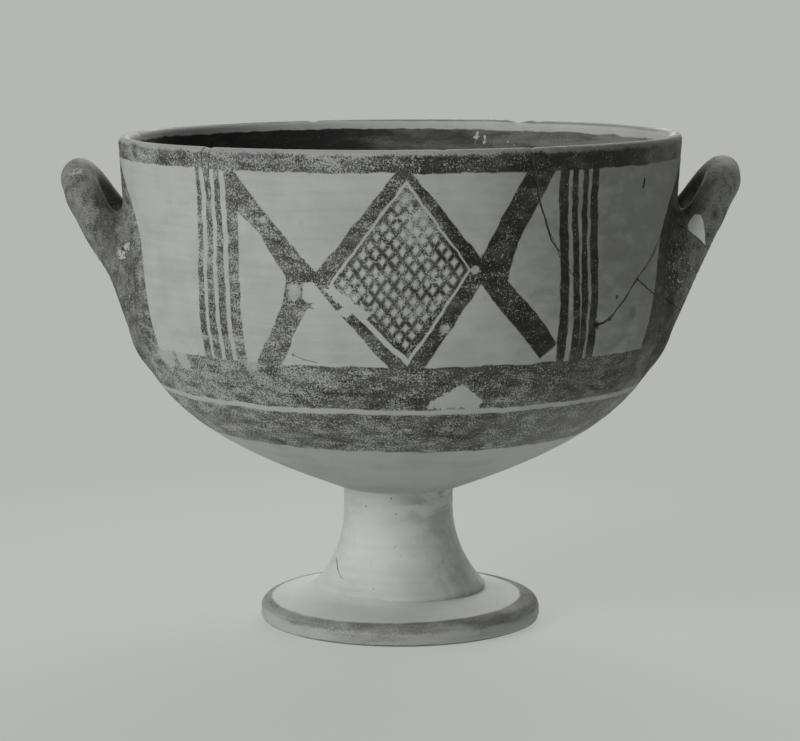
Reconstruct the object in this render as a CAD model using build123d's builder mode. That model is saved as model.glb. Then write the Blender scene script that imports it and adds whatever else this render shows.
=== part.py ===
from build123d import *
import os
from math import cos, radians, sin

# A wheel-made footed bowl with two rolled loop handles, broken on its right side and mended.
# Lengths are in millimetres and angles in degrees. The origin is the middle of the standing ring, +Z is up,
# the painted front faces -Y and the handles stand at -X and +X. An azimuth is 0 at the front and 90 at +X.

# Foot: a ring-shaped plate with a sloping top, a rounded edge and a flat standing ring
foot_radius = 55.5
foot_seat_height = 12.8
foot_edge_height = 8.2
foot_edge_round = 4.6
foot_heel_height = 1.4
foot_heel_round = 2.0
foot_heel_inset = 2.7
foot_hole_depth = 4.5
standing_width = 7.0

# Stem: a hollow trumpet with a straight neck, its skirt ending in a small step on the foot
stem_radius = 21.7
stem_height = 41.2
stem_neck_length = 9.0
stem_neck_wall = 9.0
stem_cap_thickness = 8.0
stem_luting_flare = 1.5
skirt_radius = 34.0
skirt_edge_height = 1.5
skirt_wall = 6.0

# Bowl: a shallow cone, a rounded belly and an almost upright wall that flares a little at the lip.
# Insets are measured in from the wall's radius, and rises up from the bowl's seat on the stem.
bowl_seat_radius = 24.0
bowl_seat_slope = 21.0
knee_inset = 45.5
knee_rise = 17.0
belly_inset = 17.9
belly_rise = 37.0
shoulder_inset = 3.6
shoulder_rise = 61.0
wall_radius = 108.3
wall_rise = 106.0
lip_flare = 1.7
rim_rise = 139.0
wall_thickness = 4.8
floor_thickness = 7.0
lip_round_share = 0.42
inside_stations = (0.25, 0.4, 0.55, 0.7, 0.85)

# Handles: a roll of clay bent to a loop that leans outwards. Its legs thicken down to their roots, which lie
# in from the wall's radius and above the bowl's shoulder, and their tails are lost inside the shoulder.
roll_radius = 7.0
root_radius = 10.2
handle_spread = 46.0
handle_lean = 30.3
handle_standoff = 17.3
handle_drop = 16.8
root_inset = 12.4
root_rise = 10.3
tail_depth = 22.0
tail_radius = 7.0

# Breaks: the mended joins stay open by this width
break_gap = 0.3

# Wall sherds: corners as (azimuth, share of the way down from the lip to the shoulder), seen square on from
# this azimuth
sherd_view = 65.0
above_lip = -0.05
shared_break = [
    (54.3, 0.650),
    (60.4, 0.567),
    (64.2, 0.482),
    (68.1, 0.403),
    (73.7, 0.350),
    (79.9, 0.287),
    (86.0, 0.218),
]
rim_sherd_corners = [
    (91.0, 0.115),
    (93.0, above_lip),
    (25.0, above_lip),
    (26.3, 0.064),
    (28.3, 0.256),
    (29.6, 0.385),
    (32.2, 0.508),
    (38.0, 0.667),
    (42.5, 0.845),
    (45.9, 0.818),
    (49.3, 0.754),
]
handle_sherd_corners = [
    (90.5, 0.359),
    (89.5, 0.590),
    (87.0, 0.846),
    (77.6, 0.840),
    (67.6, 0.787),
    (64.4, 0.764),
]

# Lip splinter: a narrow V seen square on from this azimuth
sliver_view = -40.0
rim_sliver_corners = [
    (-41.2, above_lip),
    (-41.0, 0.056),
    (-40.2, 0.233),
    (-38.9, 0.056),
    (-38.8, above_lip),
]

# Breaks across the front leg of the right handle: share of the way down the leg from the bend to the root, and
# how far the break slopes down outwards
upper_break_share = 0.077
upper_break_slope = 39.0
lower_break_share = 0.825
lower_break_slope = 31.0

# Plaster fill on the front of that leg: corners as (out, up) from the middle of the upper break, in roll radii
fill_depth = 2.2
fill_corners = [
    (-0.20, 1.34),
    (0.23, 1.40),
    (0.46, 1.07),
    (0.59, -0.18),
    (0.49, -0.27),
    (-0.30, 0.37),
    (-0.36, 0.74),
]

# Sizes and directions that follow from the ones above
standing_radius = foot_radius - foot_heel_inset
rim_radius = wall_radius + lip_flare
seat_direction = (cos(radians(bowl_seat_slope)), sin(radians(bowl_seat_slope)))
lip_direction = (lip_flare, rim_rise - wall_rise)
skirt_top = foot_seat_height + skirt_edge_height
bowl_base = foot_seat_height + stem_height
neck_base = bowl_base - stem_neck_length
hollow_top = bowl_base - stem_cap_thickness
lip_height = bowl_base + rim_rise
shoulder_height = bowl_base + shoulder_rise
shoulder_radius = wall_radius - shoulder_inset

os.makedirs("parts", exist_ok=True)


def wall_view(azimuth):
    """Plane through the axis that is seen square on from an azimuth."""
    turn = radians(azimuth)
    return Plane(origin=(0, 0, 0), x_dir=(cos(turn), sin(turn), 0), z_dir=(sin(turn), -cos(turn), 0))


def wall_corners(corners, view):
    """Corners given by azimuth and share, as points on the plane seen from the view azimuth."""
    height = lip_height - shoulder_height
    return [(wall_radius * sin(radians(a - view)), lip_height - share * height) for a, share in corners]


# Space under the foot and up inside the stem
with BuildPart() as hollow:
    with BuildSketch(Plane.XZ):
        with BuildLine():
            neck_hollow = stem_radius - stem_neck_wall
            mouth = skirt_radius - skirt_wall
            Polyline((0, 0), (0, hollow_top), (neck_hollow, hollow_top), (neck_hollow, neck_base))
            TangentArc((neck_hollow, neck_base), (mouth, foot_seat_height), tangent=(0, -1))
            hole_base = foot_seat_height - foot_hole_depth
            Polyline((mouth, foot_seat_height), (mouth, hole_base), (standing_radius - standing_width, 0), (0, 0))
        make_face()
    revolve(axis=Axis.Z)

with BuildPart() as foot:
    with BuildSketch(Plane.XZ):
        with BuildLine():
            FilletPolyline(
                (skirt_radius, foot_seat_height),
                (foot_radius, foot_edge_height),
                (foot_radius, foot_heel_height),
                (standing_radius, 0),
                radius=[foot_edge_round, foot_heel_round],
            )
            Polyline((standing_radius, 0), (0, 0), (0, foot_seat_height), (skirt_radius, foot_seat_height))
        make_face()
    revolve(axis=Axis.Z)
    add(hollow.part, mode=Mode.SUBTRACT)

with BuildPart() as stem:
    with BuildSketch(Plane.XZ):
        with BuildLine():
            Polyline((0, bowl_base), (0, foot_seat_height), (skirt_radius, foot_seat_height), (skirt_radius, skirt_top))
            TangentArc((stem_radius, neck_base), (skirt_radius, skirt_top), tangent=(0, -1))
            flare_base = bowl_base - stem_luting_flare
            Line((stem_radius, neck_base), (stem_radius, flare_base))
            TangentArc(
                (stem_radius, flare_base), (stem_radius + stem_luting_flare, bowl_base), tangent=(0, 1)
            )
            Line((stem_radius + stem_luting_flare, bowl_base), (0, bowl_base))
        make_face()
    revolve(axis=Axis.Z)
    add(hollow.part, mode=Mode.SUBTRACT)

# Outer curve of the bowl from its seat on the stem to the lip, and the inner curve one wall further in
with BuildLine() as outer_curve:
    Spline(
        (bowl_seat_radius, bowl_base),
        (wall_radius - knee_inset, bowl_base + knee_rise),
        (wall_radius - belly_inset, bowl_base + belly_rise),
        (wall_radius - shoulder_inset, bowl_base + shoulder_rise),
        (wall_radius, bowl_base + wall_rise),
        (rim_radius, lip_height),
        tangents=(seat_direction, lip_direction),
    )
outside = outer_curve.edge()
inside_points = [
    outside @ station + (outside % station).rotate(Axis.Z, 90) * wall_thickness for station in inside_stations
]
with BuildLine() as inner_curve:
    Spline(
        (0, bowl_base + floor_thickness),
        *inside_points,
        (rim_radius - wall_thickness, lip_height),
        tangents=((1, 0), lip_direction),
    )

# Outer form of the bowl without its hollow, which shapes what is luted to the wall
with BuildPart() as bowl_form:
    with BuildSketch(Plane.XZ):
        with BuildLine():
            add(outer_curve.line)
            Polyline((rim_radius, lip_height), (0, lip_height), (0, bowl_base), (bowl_seat_radius, bowl_base))
        make_face()
    revolve(axis=Axis.Z)

with BuildPart() as whole_bowl:
    with BuildSketch(Plane.XZ):
        with BuildLine():
            add(outer_curve.line)
            add(inner_curve.line)
            Line((rim_radius, lip_height), (rim_radius - wall_thickness, lip_height))
            Polyline((0, bowl_base + floor_thickness), (0, bowl_base), (bowl_seat_radius, bowl_base))
        make_face()
    revolve(axis=Axis.Z)
    lip_edges = edges().group_by(Axis.Z)[-1]
    fillet(lip_edges, radius=lip_round_share * wall_thickness)

# Mended wall: each sherd is cut from the thrown bowl, half the gap inside its outline
rim_sherd_outline = wall_corners(shared_break + rim_sherd_corners, sherd_view)
handle_sherd_outline = wall_corners(shared_break + handle_sherd_corners, sherd_view)
rim_sliver_outline = wall_corners(rim_sliver_corners, sliver_view)


def break_prism(outline, view, clearance):
    """Prism through one side of the wall, with its outline moved out by the clearance."""
    with BuildPart() as prism:
        with BuildSketch(wall_view(view)):
            with BuildLine():
                Polyline(*outline, close=True)
            make_face()
            offset(amount=clearance, kind=Kind.INTERSECTION)
        extrude(amount=2 * rim_radius)
    return prism.part


half_gap = break_gap / 2

with BuildPart() as rim_sherd:
    add(whole_bowl.part)
    add(break_prism(rim_sherd_outline, sherd_view, -half_gap), mode=Mode.INTERSECT)

with BuildPart() as handle_sherd:
    add(whole_bowl.part)
    add(break_prism(handle_sherd_outline, sherd_view, -half_gap), mode=Mode.INTERSECT)

with BuildPart() as rim_sliver:
    add(whole_bowl.part)
    add(break_prism(rim_sliver_outline, sliver_view, -half_gap), mode=Mode.INTERSECT)

with BuildPart() as bowl:
    add(whole_bowl.part)
    add(break_prism(rim_sherd_outline, sherd_view, half_gap), mode=Mode.SUBTRACT)
    add(break_prism(handle_sherd_outline, sherd_view, half_gap), mode=Mode.SUBTRACT)
    add(break_prism(rim_sliver_outline, sliver_view, half_gap), mode=Mode.SUBTRACT)

# Handle: the bend and its two legs lie in the leaning plane, and each tail turns into the wall
half_spread = handle_spread / 2
lean = radians(handle_lean)
down_leg = Vector(-sin(lean), 0, -cos(lean))
apex = Vector(wall_radius + handle_standoff, 0, lip_height - handle_drop)
bend_base = apex + down_leg * half_spread
root = Vector(wall_radius - root_inset, 0, shoulder_height + root_rise)
tail = Vector(shoulder_radius - tail_depth, 0, shoulder_height)
sides = [Vector(0, side, 0) for side in (-half_spread, half_spread)]

with BuildPart() as loop_handle:
    with BuildLine() as bend:
        ThreePointArc(bend_base + sides[0], apex, bend_base + sides[1])
    with BuildSketch(Plane(origin=bend_base + sides[0], z_dir=down_leg)):
        Circle(roll_radius)
    sweep(path=bend.wire())
    for side in sides:
        with BuildSketch(Plane(origin=bend_base + side, z_dir=down_leg)):
            Circle(roll_radius)
        with BuildSketch(Plane(origin=root + side, z_dir=root - bend_base)):
            Circle(root_radius)
        loft()
        with BuildSketch(Plane(origin=root + side, z_dir=root - bend_base)):
            Circle(root_radius)
        with BuildSketch(Plane(origin=tail + side, z_dir=tail - root)):
            Circle(tail_radius)
        loft()
    add(bowl_form.part, mode=Mode.SUBTRACT)

with BuildPart() as left_handle:
    add(mirror(loop_handle.part, about=Plane.YZ, mode=Mode.PRIVATE))


def on_leg(share):
    """Point of the leg's middle line at a share of the way down, seen from the front."""
    point = bend_base + (root - bend_base) * share
    return Vector(point.X, point.Z)


def leg_break(share, slope, shift):
    """Two ends of a break line across the front leg, moved up by the shift."""
    middle = on_leg(share)
    along = Vector(cos(radians(slope)), -sin(radians(slope))) * handle_spread
    lift = Vector(sin(radians(slope)), cos(radians(slope))) * shift
    return middle - along + lift, middle + along + lift


def below_break(line):
    """Space in front of the handle's middle and below a break line."""
    start, end = line
    with BuildPart() as space:
        with BuildSketch(Plane.XZ):
            with BuildLine():
                Polyline(start, end, (end.X, 0), (start.X, 0), close=True)
            make_face()
        extrude(amount=handle_spread)
    return space.part


upper_break = (upper_break_share, upper_break_slope)
lower_break = (lower_break_share, lower_break_slope)
fill_middle = on_leg(upper_break_share)

with BuildPart() as fill_space:
    with BuildSketch(Plane.XZ.offset(half_spread + roll_radius - fill_depth)):
        with BuildLine():
            Polyline(*[fill_middle + Vector(*corner) * roll_radius for corner in fill_corners], close=True)
        make_face()
    extrude(amount=2 * fill_depth)

with BuildPart() as upper_handle:
    add(loop_handle.part)
    add(below_break(leg_break(*upper_break, half_gap)), mode=Mode.SUBTRACT)

with BuildPart() as handle_fill:
    add(upper_handle.part)
    add(fill_space.part, mode=Mode.INTERSECT)

with BuildPart() as right_handle:
    add(upper_handle.part)
    add(fill_space.part, mode=Mode.SUBTRACT)

with BuildPart() as right_handle_root:
    add(loop_handle.part)
    add(below_break(leg_break(*upper_break, -half_gap)), mode=Mode.INTERSECT)
    add(below_break(leg_break(*lower_break, half_gap)), mode=Mode.SUBTRACT)

with BuildPart() as right_handle_tail:
    add(loop_handle.part)
    add(below_break(leg_break(*lower_break, -half_gap)), mode=Mode.INTERSECT)

pieces = {
    "bowl": bowl,
    "rim_sherd": rim_sherd,
    "handle_sherd": handle_sherd,
    "rim_sliver": rim_sliver,
    "stem": stem,
    "foot": foot,
    "left_handle": left_handle,
    "right_handle": right_handle,
    "right_handle_root": right_handle_root,
    "right_handle_tail": right_handle_tail,
    "handle_fill": handle_fill,
}
for name, piece in pieces.items():
    piece.part.label = name
    export_step(piece.part, f"parts/{name}.step")
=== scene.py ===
"""A mended stem cup of painted clay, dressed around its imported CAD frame.

Lengths are in millimetres until a mesh, a lamp or the camera is made. Azimuths are in degrees, 0 at the
painted front and 90 at the right handle. The print that the looks follow has no colour, so the tones are
its greys.
"""

import logging
import math
from dataclasses import dataclass, field
from enum import Enum
from functools import reduce
from operator import and_, or_
from typing import Callable, Sequence, Union

import bmesh
import bpy
import numpy as np
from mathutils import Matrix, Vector, noise
from mathutils.bvhtree import BVHTree


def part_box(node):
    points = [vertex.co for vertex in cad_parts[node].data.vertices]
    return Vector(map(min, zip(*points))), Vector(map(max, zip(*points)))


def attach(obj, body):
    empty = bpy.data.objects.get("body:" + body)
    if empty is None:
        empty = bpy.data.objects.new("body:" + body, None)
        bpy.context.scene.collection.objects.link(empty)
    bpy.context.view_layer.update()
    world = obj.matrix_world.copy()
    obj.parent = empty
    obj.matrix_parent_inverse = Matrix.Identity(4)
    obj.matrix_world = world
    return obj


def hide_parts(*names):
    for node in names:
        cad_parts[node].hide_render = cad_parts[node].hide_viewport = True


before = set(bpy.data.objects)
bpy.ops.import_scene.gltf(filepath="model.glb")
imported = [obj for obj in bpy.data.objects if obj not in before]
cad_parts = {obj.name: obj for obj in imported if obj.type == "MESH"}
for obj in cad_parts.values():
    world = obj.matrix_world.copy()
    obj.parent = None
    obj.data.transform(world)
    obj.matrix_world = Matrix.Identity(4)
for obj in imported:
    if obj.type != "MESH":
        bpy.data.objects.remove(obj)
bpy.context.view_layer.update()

MM = 0.001
BODY = "root"
LOG = logging.getLogger("stem_cup")

Pair = tuple[float, float]
Number = Union[float, "Value"]
Shape = Callable[[np.ndarray], np.ndarray]


class Slot(Enum):
    """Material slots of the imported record."""

    CLAY = "fired_clay"
    PLASTER = "plaster"


class Side(Enum):
    """Which way a handle stands out from the axis."""

    LEFT = -1.0
    RIGHT = 1.0


class Cut(Enum):
    """What a cutting form leaves of a piece."""

    INSIDE = "INTERSECT"
    OUTSIDE = "DIFFERENCE"


def grey(tone: float) -> tuple[float, float, float, float]:
    """Turns a tone of the print, from 0 to 255, into a linear colour with its faint green cast.

    Args:
        tone: grey value as a screen shows it.

    Returns:
        The linear red, green, blue and alpha.
    """
    cast = (0.995, 1.005, 0.982)
    linear = [(max(tone * c / 255, 0.0) / 1.055 + 0.055 / 1.055) ** 2.4 for c in cast]
    return (*linear, 1.0)


class Value:
    """A number socket of a shader, on which arithmetic adds Math nodes and masks combine with & | and ~."""

    def __init__(self, graph: "Graph", socket: bpy.types.NodeSocket) -> None:
        """Keeps the socket and the graph that it belongs to."""
        self.graph = graph
        self.socket = socket

    def __add__(self, other: Number) -> "Value":
        """Sum."""
        return self.graph.math("ADD", self, other)

    def __radd__(self, other: Number) -> "Value":
        """Sum with a plain number on the left."""
        return self.graph.math("ADD", other, self)

    def __sub__(self, other: Number) -> "Value":
        """Difference."""
        return self.graph.math("SUBTRACT", self, other)

    def __rsub__(self, other: Number) -> "Value":
        """Difference from a plain number."""
        return self.graph.math("SUBTRACT", other, self)

    def __mul__(self, other: Number) -> "Value":
        """Product."""
        return self.graph.math("MULTIPLY", self, other)

    def __rmul__(self, other: Number) -> "Value":
        """Product with a plain number on the left."""
        return self.graph.math("MULTIPLY", other, self)

    def __truediv__(self, other: Number) -> "Value":
        """Quotient."""
        return self.graph.math("DIVIDE", self, other)

    def __rtruediv__(self, other: Number) -> "Value":
        """Quotient of a plain number."""
        return self.graph.math("DIVIDE", other, self)

    def __abs__(self) -> "Value":
        """Size without its sign."""
        return self.graph.math("ABSOLUTE", self)

    def __and__(self, other: Number) -> "Value":
        """Where both masks are."""
        return self.graph.math("MINIMUM", self, other)

    def __rand__(self, other: Number) -> "Value":
        """Where both masks are, with a plain number on the left."""
        return self.graph.math("MINIMUM", other, self)

    def __or__(self, other: Number) -> "Value":
        """Where either mask is."""
        return self.graph.math("MAXIMUM", self, other)

    def __ror__(self, other: Number) -> "Value":
        """Where either mask is, with a plain number on the left."""
        return self.graph.math("MAXIMUM", other, self)

    def __invert__(self) -> "Value":
        """Where the mask isn't."""
        return 1.0 - self


class Graph:
    """The node tree of one material, with its surface shader."""

    def __init__(self, name: str) -> None:
        """Makes an empty material with a principled surface.

        Args:
            name: name of the material.
        """
        self.material = bpy.data.materials.new(name)
        self.material.use_nodes = True
        self.tree = self.material.node_tree
        self.tree.nodes.clear()
        self.surface = self.node("ShaderNodeBsdfPrincipled", sockets={"Specular IOR Level": 0.25})
        self.output = self.node("ShaderNodeOutputMaterial", sockets={"Surface": self.surface.outputs[0]})
        place = self.node("ShaderNodeTexCoord").outputs["Object"]
        scaled = self.node("ShaderNodeVectorMath", {"operation": "SCALE"}, {0: place, "Scale": 1 / MM})
        self.place = scaled.outputs[0]

    def node(
        self,
        kind: str,
        settings: dict[str, object] | None = None,
        sockets: dict[str | int, object] | None = None,
    ) -> bpy.types.Node:
        """Adds a node.

        Args:
            kind: node type.
            settings: properties of the node, set before its sockets.
            sockets: values or links of its inputs, by name or number.

        Returns:
            The new node.
        """
        made = self.tree.nodes.new(kind)
        for key, setting in (settings or {}).items():
            setattr(made, key, setting)
        for key, given in (sockets or {}).items():
            self.join(made.inputs[key], given)
        return made

    def join(self, target: bpy.types.NodeSocket, given: object) -> None:
        """Links an input, or sets it to a plain value.

        Args:
            target: the input.
            given: socket, wrapped value or plain value.
        """
        source = given.socket if isinstance(given, Value) else given
        if isinstance(source, bpy.types.NodeSocket):
            self.tree.links.new(source, target)
        else:
            target.default_value = source

    def math(self, operation: str, *terms: Number) -> Value:
        """Adds a Math node.

        Args:
            operation: name of the operation.
            terms: its numbers or values in order.

        Returns:
            The result.
        """
        made = self.node("ShaderNodeMath", {"operation": operation}, dict(enumerate(terms)))
        return Value(self, made.outputs[0])

    def dot(self, vector: bpy.types.NodeSocket, weights: Sequence[float]) -> Value:
        """Weighted sum of a vector's parts."""
        made = self.node("ShaderNodeVectorMath", {"operation": "DOT_PRODUCT"}, {0: vector, 1: weights})
        return Value(self, made.outputs["Value"])

    def vector(self, *parts: Number) -> bpy.types.NodeSocket:
        """A vector from three values."""
        return self.node("ShaderNodeCombineXYZ", sockets=dict(enumerate(parts))).outputs[0]

    def noise(
        self,
        pitch: float,
        detail: float = 2.0,
        stretch: Sequence[float] = (1.0, 1.0, 1.0),
        shift: float = 0.0,
    ) -> Value:
        """Soft random value over the clay, about 0.5 on average.

        Args:
            pitch: size of its blotches in millimetres.
            detail: how many finer layers are added.
            stretch: how much each axis is squeezed.
            shift: moves the pattern, so that two noises differ.

        Returns:
            The value, mostly between 0.2 and 0.8.
        """
        scale = tuple(s / pitch for s in stretch)
        moved = self.node(
            "ShaderNodeVectorMath",
            {"operation": "MULTIPLY_ADD"},
            {0: self.place, 1: scale, 2: (shift, shift, shift)},
        )
        sockets = {"Vector": moved.outputs[0], "Scale": 1.0, "Detail": detail, "Roughness": 0.6}
        return Value(self, self.node("ShaderNodeTexNoise", sockets=sockets).outputs[0])

    def rise(self, value: Number, low: Number, high: Number) -> Value:
        """Smooth mask over a range of a value.

        Args:
            value: what the mask goes by.
            low: where the mask is still 0.
            high: where it has come to 1, which may lie below low.

        Returns:
            The mask.
        """
        sockets = {0: value, 1: low, 2: high}
        made = self.node("ShaderNodeMapRange", {"interpolation_type": "SMOOTHSTEP"}, sockets)
        return Value(self, made.outputs[0])

    def mix(self, share: Number, first: object, second: object) -> bpy.types.NodeSocket:
        """Colour between two others, the second where the share is 1."""
        made = self.node("ShaderNodeMix", {"data_type": "RGBA"}, {0: share, 6: first, 7: second})
        return made.outputs[2]

    def bump(
        self, height: Value, depth: float, under: bpy.types.NodeSocket | None = None
    ) -> bpy.types.NodeSocket:
        """Small relief.

        Args:
            height: value from 0 to 1.
            depth: height of 1, in millimetres.
            under: relief below this one.

        Returns:
            The normal.
        """
        sockets: dict[str | int, object] = {"Height": height, "Distance": depth * MM, "Strength": 1.0}
        if under is not None:
            sockets["Normal"] = under
        return self.node("ShaderNodeBump", sockets=sockets).outputs[0]

    def dress(self, colour: object, roughness: object, normal: object = None) -> bpy.types.Material:
        """Finishes the surface.

        Args:
            colour: its colour, plain or linked.
            roughness: its roughness, plain or linked.
            normal: its relief, if it has any.

        Returns:
            The material.
        """
        self.join(self.surface.inputs["Base Color"], colour)
        self.join(self.surface.inputs["Roughness"], roughness)
        if normal is not None:
            self.join(self.surface.inputs["Normal"], normal)
        return self.material


@dataclass(frozen=True)
class Clay:
    """Pale fired clay with blotches, wheel lines and small pits."""

    tone: float = 172.0
    blotch_tone: float = 158.0
    pit_tone: float = 120.0
    roughness: float = 0.78
    blotch: float = 26.0
    wheel_pitch: float = 2.1
    wheel_relief: float = 0.10
    grain: float = 0.7
    grain_relief: float = 0.06
    pit: float = 1.5
    # Painted shade: a darker clay tone on the upper right of the cup, used only where a tone is given.
    right_shade_tone: float | None = None
    right_shade_fleck: float = 7.0
    right_shade_across: Pair = (64.0, 140.0)
    right_shade_height: Pair = (86.0, 104.0)

    def coat(self, graph: Graph) -> tuple[bpy.types.NodeSocket, bpy.types.NodeSocket]:
        """Adds the clay to a graph.

        Args:
            graph: the material's graph.

        Returns:
            Its colour and its normal.
        """
        broad = graph.rise(graph.noise(self.blotch, 4.0), 0.35, 0.7)
        wheel = graph.noise(self.wheel_pitch, 2.0, (0.06, 0.06, 1.0), 3.0)
        grain = graph.noise(self.grain, 3.0, shift=9.0)
        pits = graph.rise(graph.noise(self.pit, 1.0, shift=17.0), 0.72, 0.8)
        uneven = broad * 0.6 + (wheel - 0.5) * 0.9 + (grain - 0.5) * 0.5
        colour = graph.mix(graph.rise(uneven, -0.1, 0.9), grey(self.tone), grey(self.blotch_tone))
        # Painted shade on the right of the cup.
        if self.right_shade_tone is not None:
            colour = graph.mix(self.right_shade(graph), colour, grey(self.right_shade_tone))
        colour = graph.mix(pits * 0.5, colour, grey(self.pit_tone))
        relief = graph.bump(wheel, self.wheel_relief)
        return colour, graph.bump(grain - pits, self.grain_relief, relief)

    def right_shade(self, graph: Graph) -> Value:
        """Mask of painted shade on the upper right of the cup, mottled, darkening the clay on the side
        turned from the light.

        Args:
            graph: the material's graph.

        Returns:
            The mask.
        """
        mottle = graph.noise(self.right_shade_fleck, 4.0, (0.7, 0.7, 1.2), 13.0) - 0.5
        right = graph.dot(graph.place, (1.0, -0.2, 0.2)) + mottle * 40.0
        wall = graph.rise(graph.dot(graph.place, (0.0, 0.0, 1.0)), *self.right_shade_height)
        return graph.rise(right, *self.right_shade_across) * wall * (1.0 + mottle)

    def material(self, name: str) -> bpy.types.Material:
        """Makes a material of the bare clay.

        Args:
            name: name of the material.

        Returns:
            The material.
        """
        graph = Graph(name)
        colour, normal = self.coat(graph)
        return graph.dress(colour, self.roughness, normal)


@dataclass(frozen=True)
class Paint:
    """Dark slip brushed on the clay, worn off in small specks."""

    tone: float = 46.0
    # Tone of dark marks: crack and pit dirt, and painted contact shadow at the foot.
    thin_tone: float = 90.0
    dark_mark_tone: float = 24.0
    roughness: float = 0.55
    edge: float = 0.3
    relief: float = 0.05
    speck: float = 0.62
    patch: float = 3.4
    spark: float = 0.9
    brush: float = 4.0
    bare_limit: float = 0.66
    whole_limit: float = 0.34
    limit_edge: float = 0.07
    stain: float = 0.16
    streak: tuple[float, float, float] = (0.4, 0.4, 1.0)
    clay: Clay = Clay()

    def wear(self, graph: Graph, cover: Number) -> Value:
        """Mask of the paint that is left.

        Args:
            graph: the material's graph.
            cover: share of the clay that is still painted, from 0 to 1.

        Returns:
            The mask.
        """
        specks = graph.noise(self.speck, 3.0, shift=31.0)
        patches = graph.noise(self.patch, 3.0, self.streak, 43.0)
        level = specks * 0.64 + patches * 0.36
        limit = self.bare_limit - cover * (self.bare_limit - self.whole_limit)
        sparks = graph.rise(graph.noise(self.spark, 2.0, shift=37.0), 0.64, 0.72)
        return graph.rise(level, limit - self.limit_edge, limit + self.limit_edge) & ~sparks

    def coat(
        self, graph: Graph, drawn: Value, cover: Number, dark_marks: Value | None = None, thin: Number = 0.0
    ) -> bpy.types.Material:
        """Paints the drawn shapes over the clay.

        Args:
            graph: the material's graph.
            drawn: mask of what was painted.
            cover: share of it that is left.
            dark_marks: mask of dark marks, dirt in cracks and pits and the foot's painted contact shadow.
            thin: how much thinner than usual the brush left it.

        Returns:
            The material.
        """
        clay, under = self.clay.coat(graph)
        left = drawn * (self.stain + self.wear(graph, cover) * (1.0 - self.stain))
        brush = (graph.noise(self.brush, 5.0, self.streak, 57.0) - 0.5) * 1.5
        weak = graph.rise(1.0 - cover + brush + thin, 0.0, 0.85)
        paint = graph.mix(weak, grey(self.tone), grey(self.thin_tone))
        colour = graph.mix(left, clay, paint)
        # Dark marks: dirt in cracks and pits, and the foot's painted contact shadow.
        if dark_marks is not None:
            colour = graph.mix(dark_marks, colour, grey(self.dark_mark_tone))
        rough = self.clay.roughness + left * (self.roughness - self.clay.roughness)
        return graph.dress(colour, rough, graph.bump(left, self.relief, under))


@dataclass(frozen=True)
class Spot:
    """A round mark on the wall: its middle, its half-width and how strong it is."""

    azimuth: float
    height: float
    size: float
    strength: float = 1.0
    back: bool = False


@dataclass(frozen=True)
class Crack:
    """A dirty crack line on the wall, through points as (azimuth, height)."""

    width: float
    points: tuple[Pair, ...]


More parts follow.
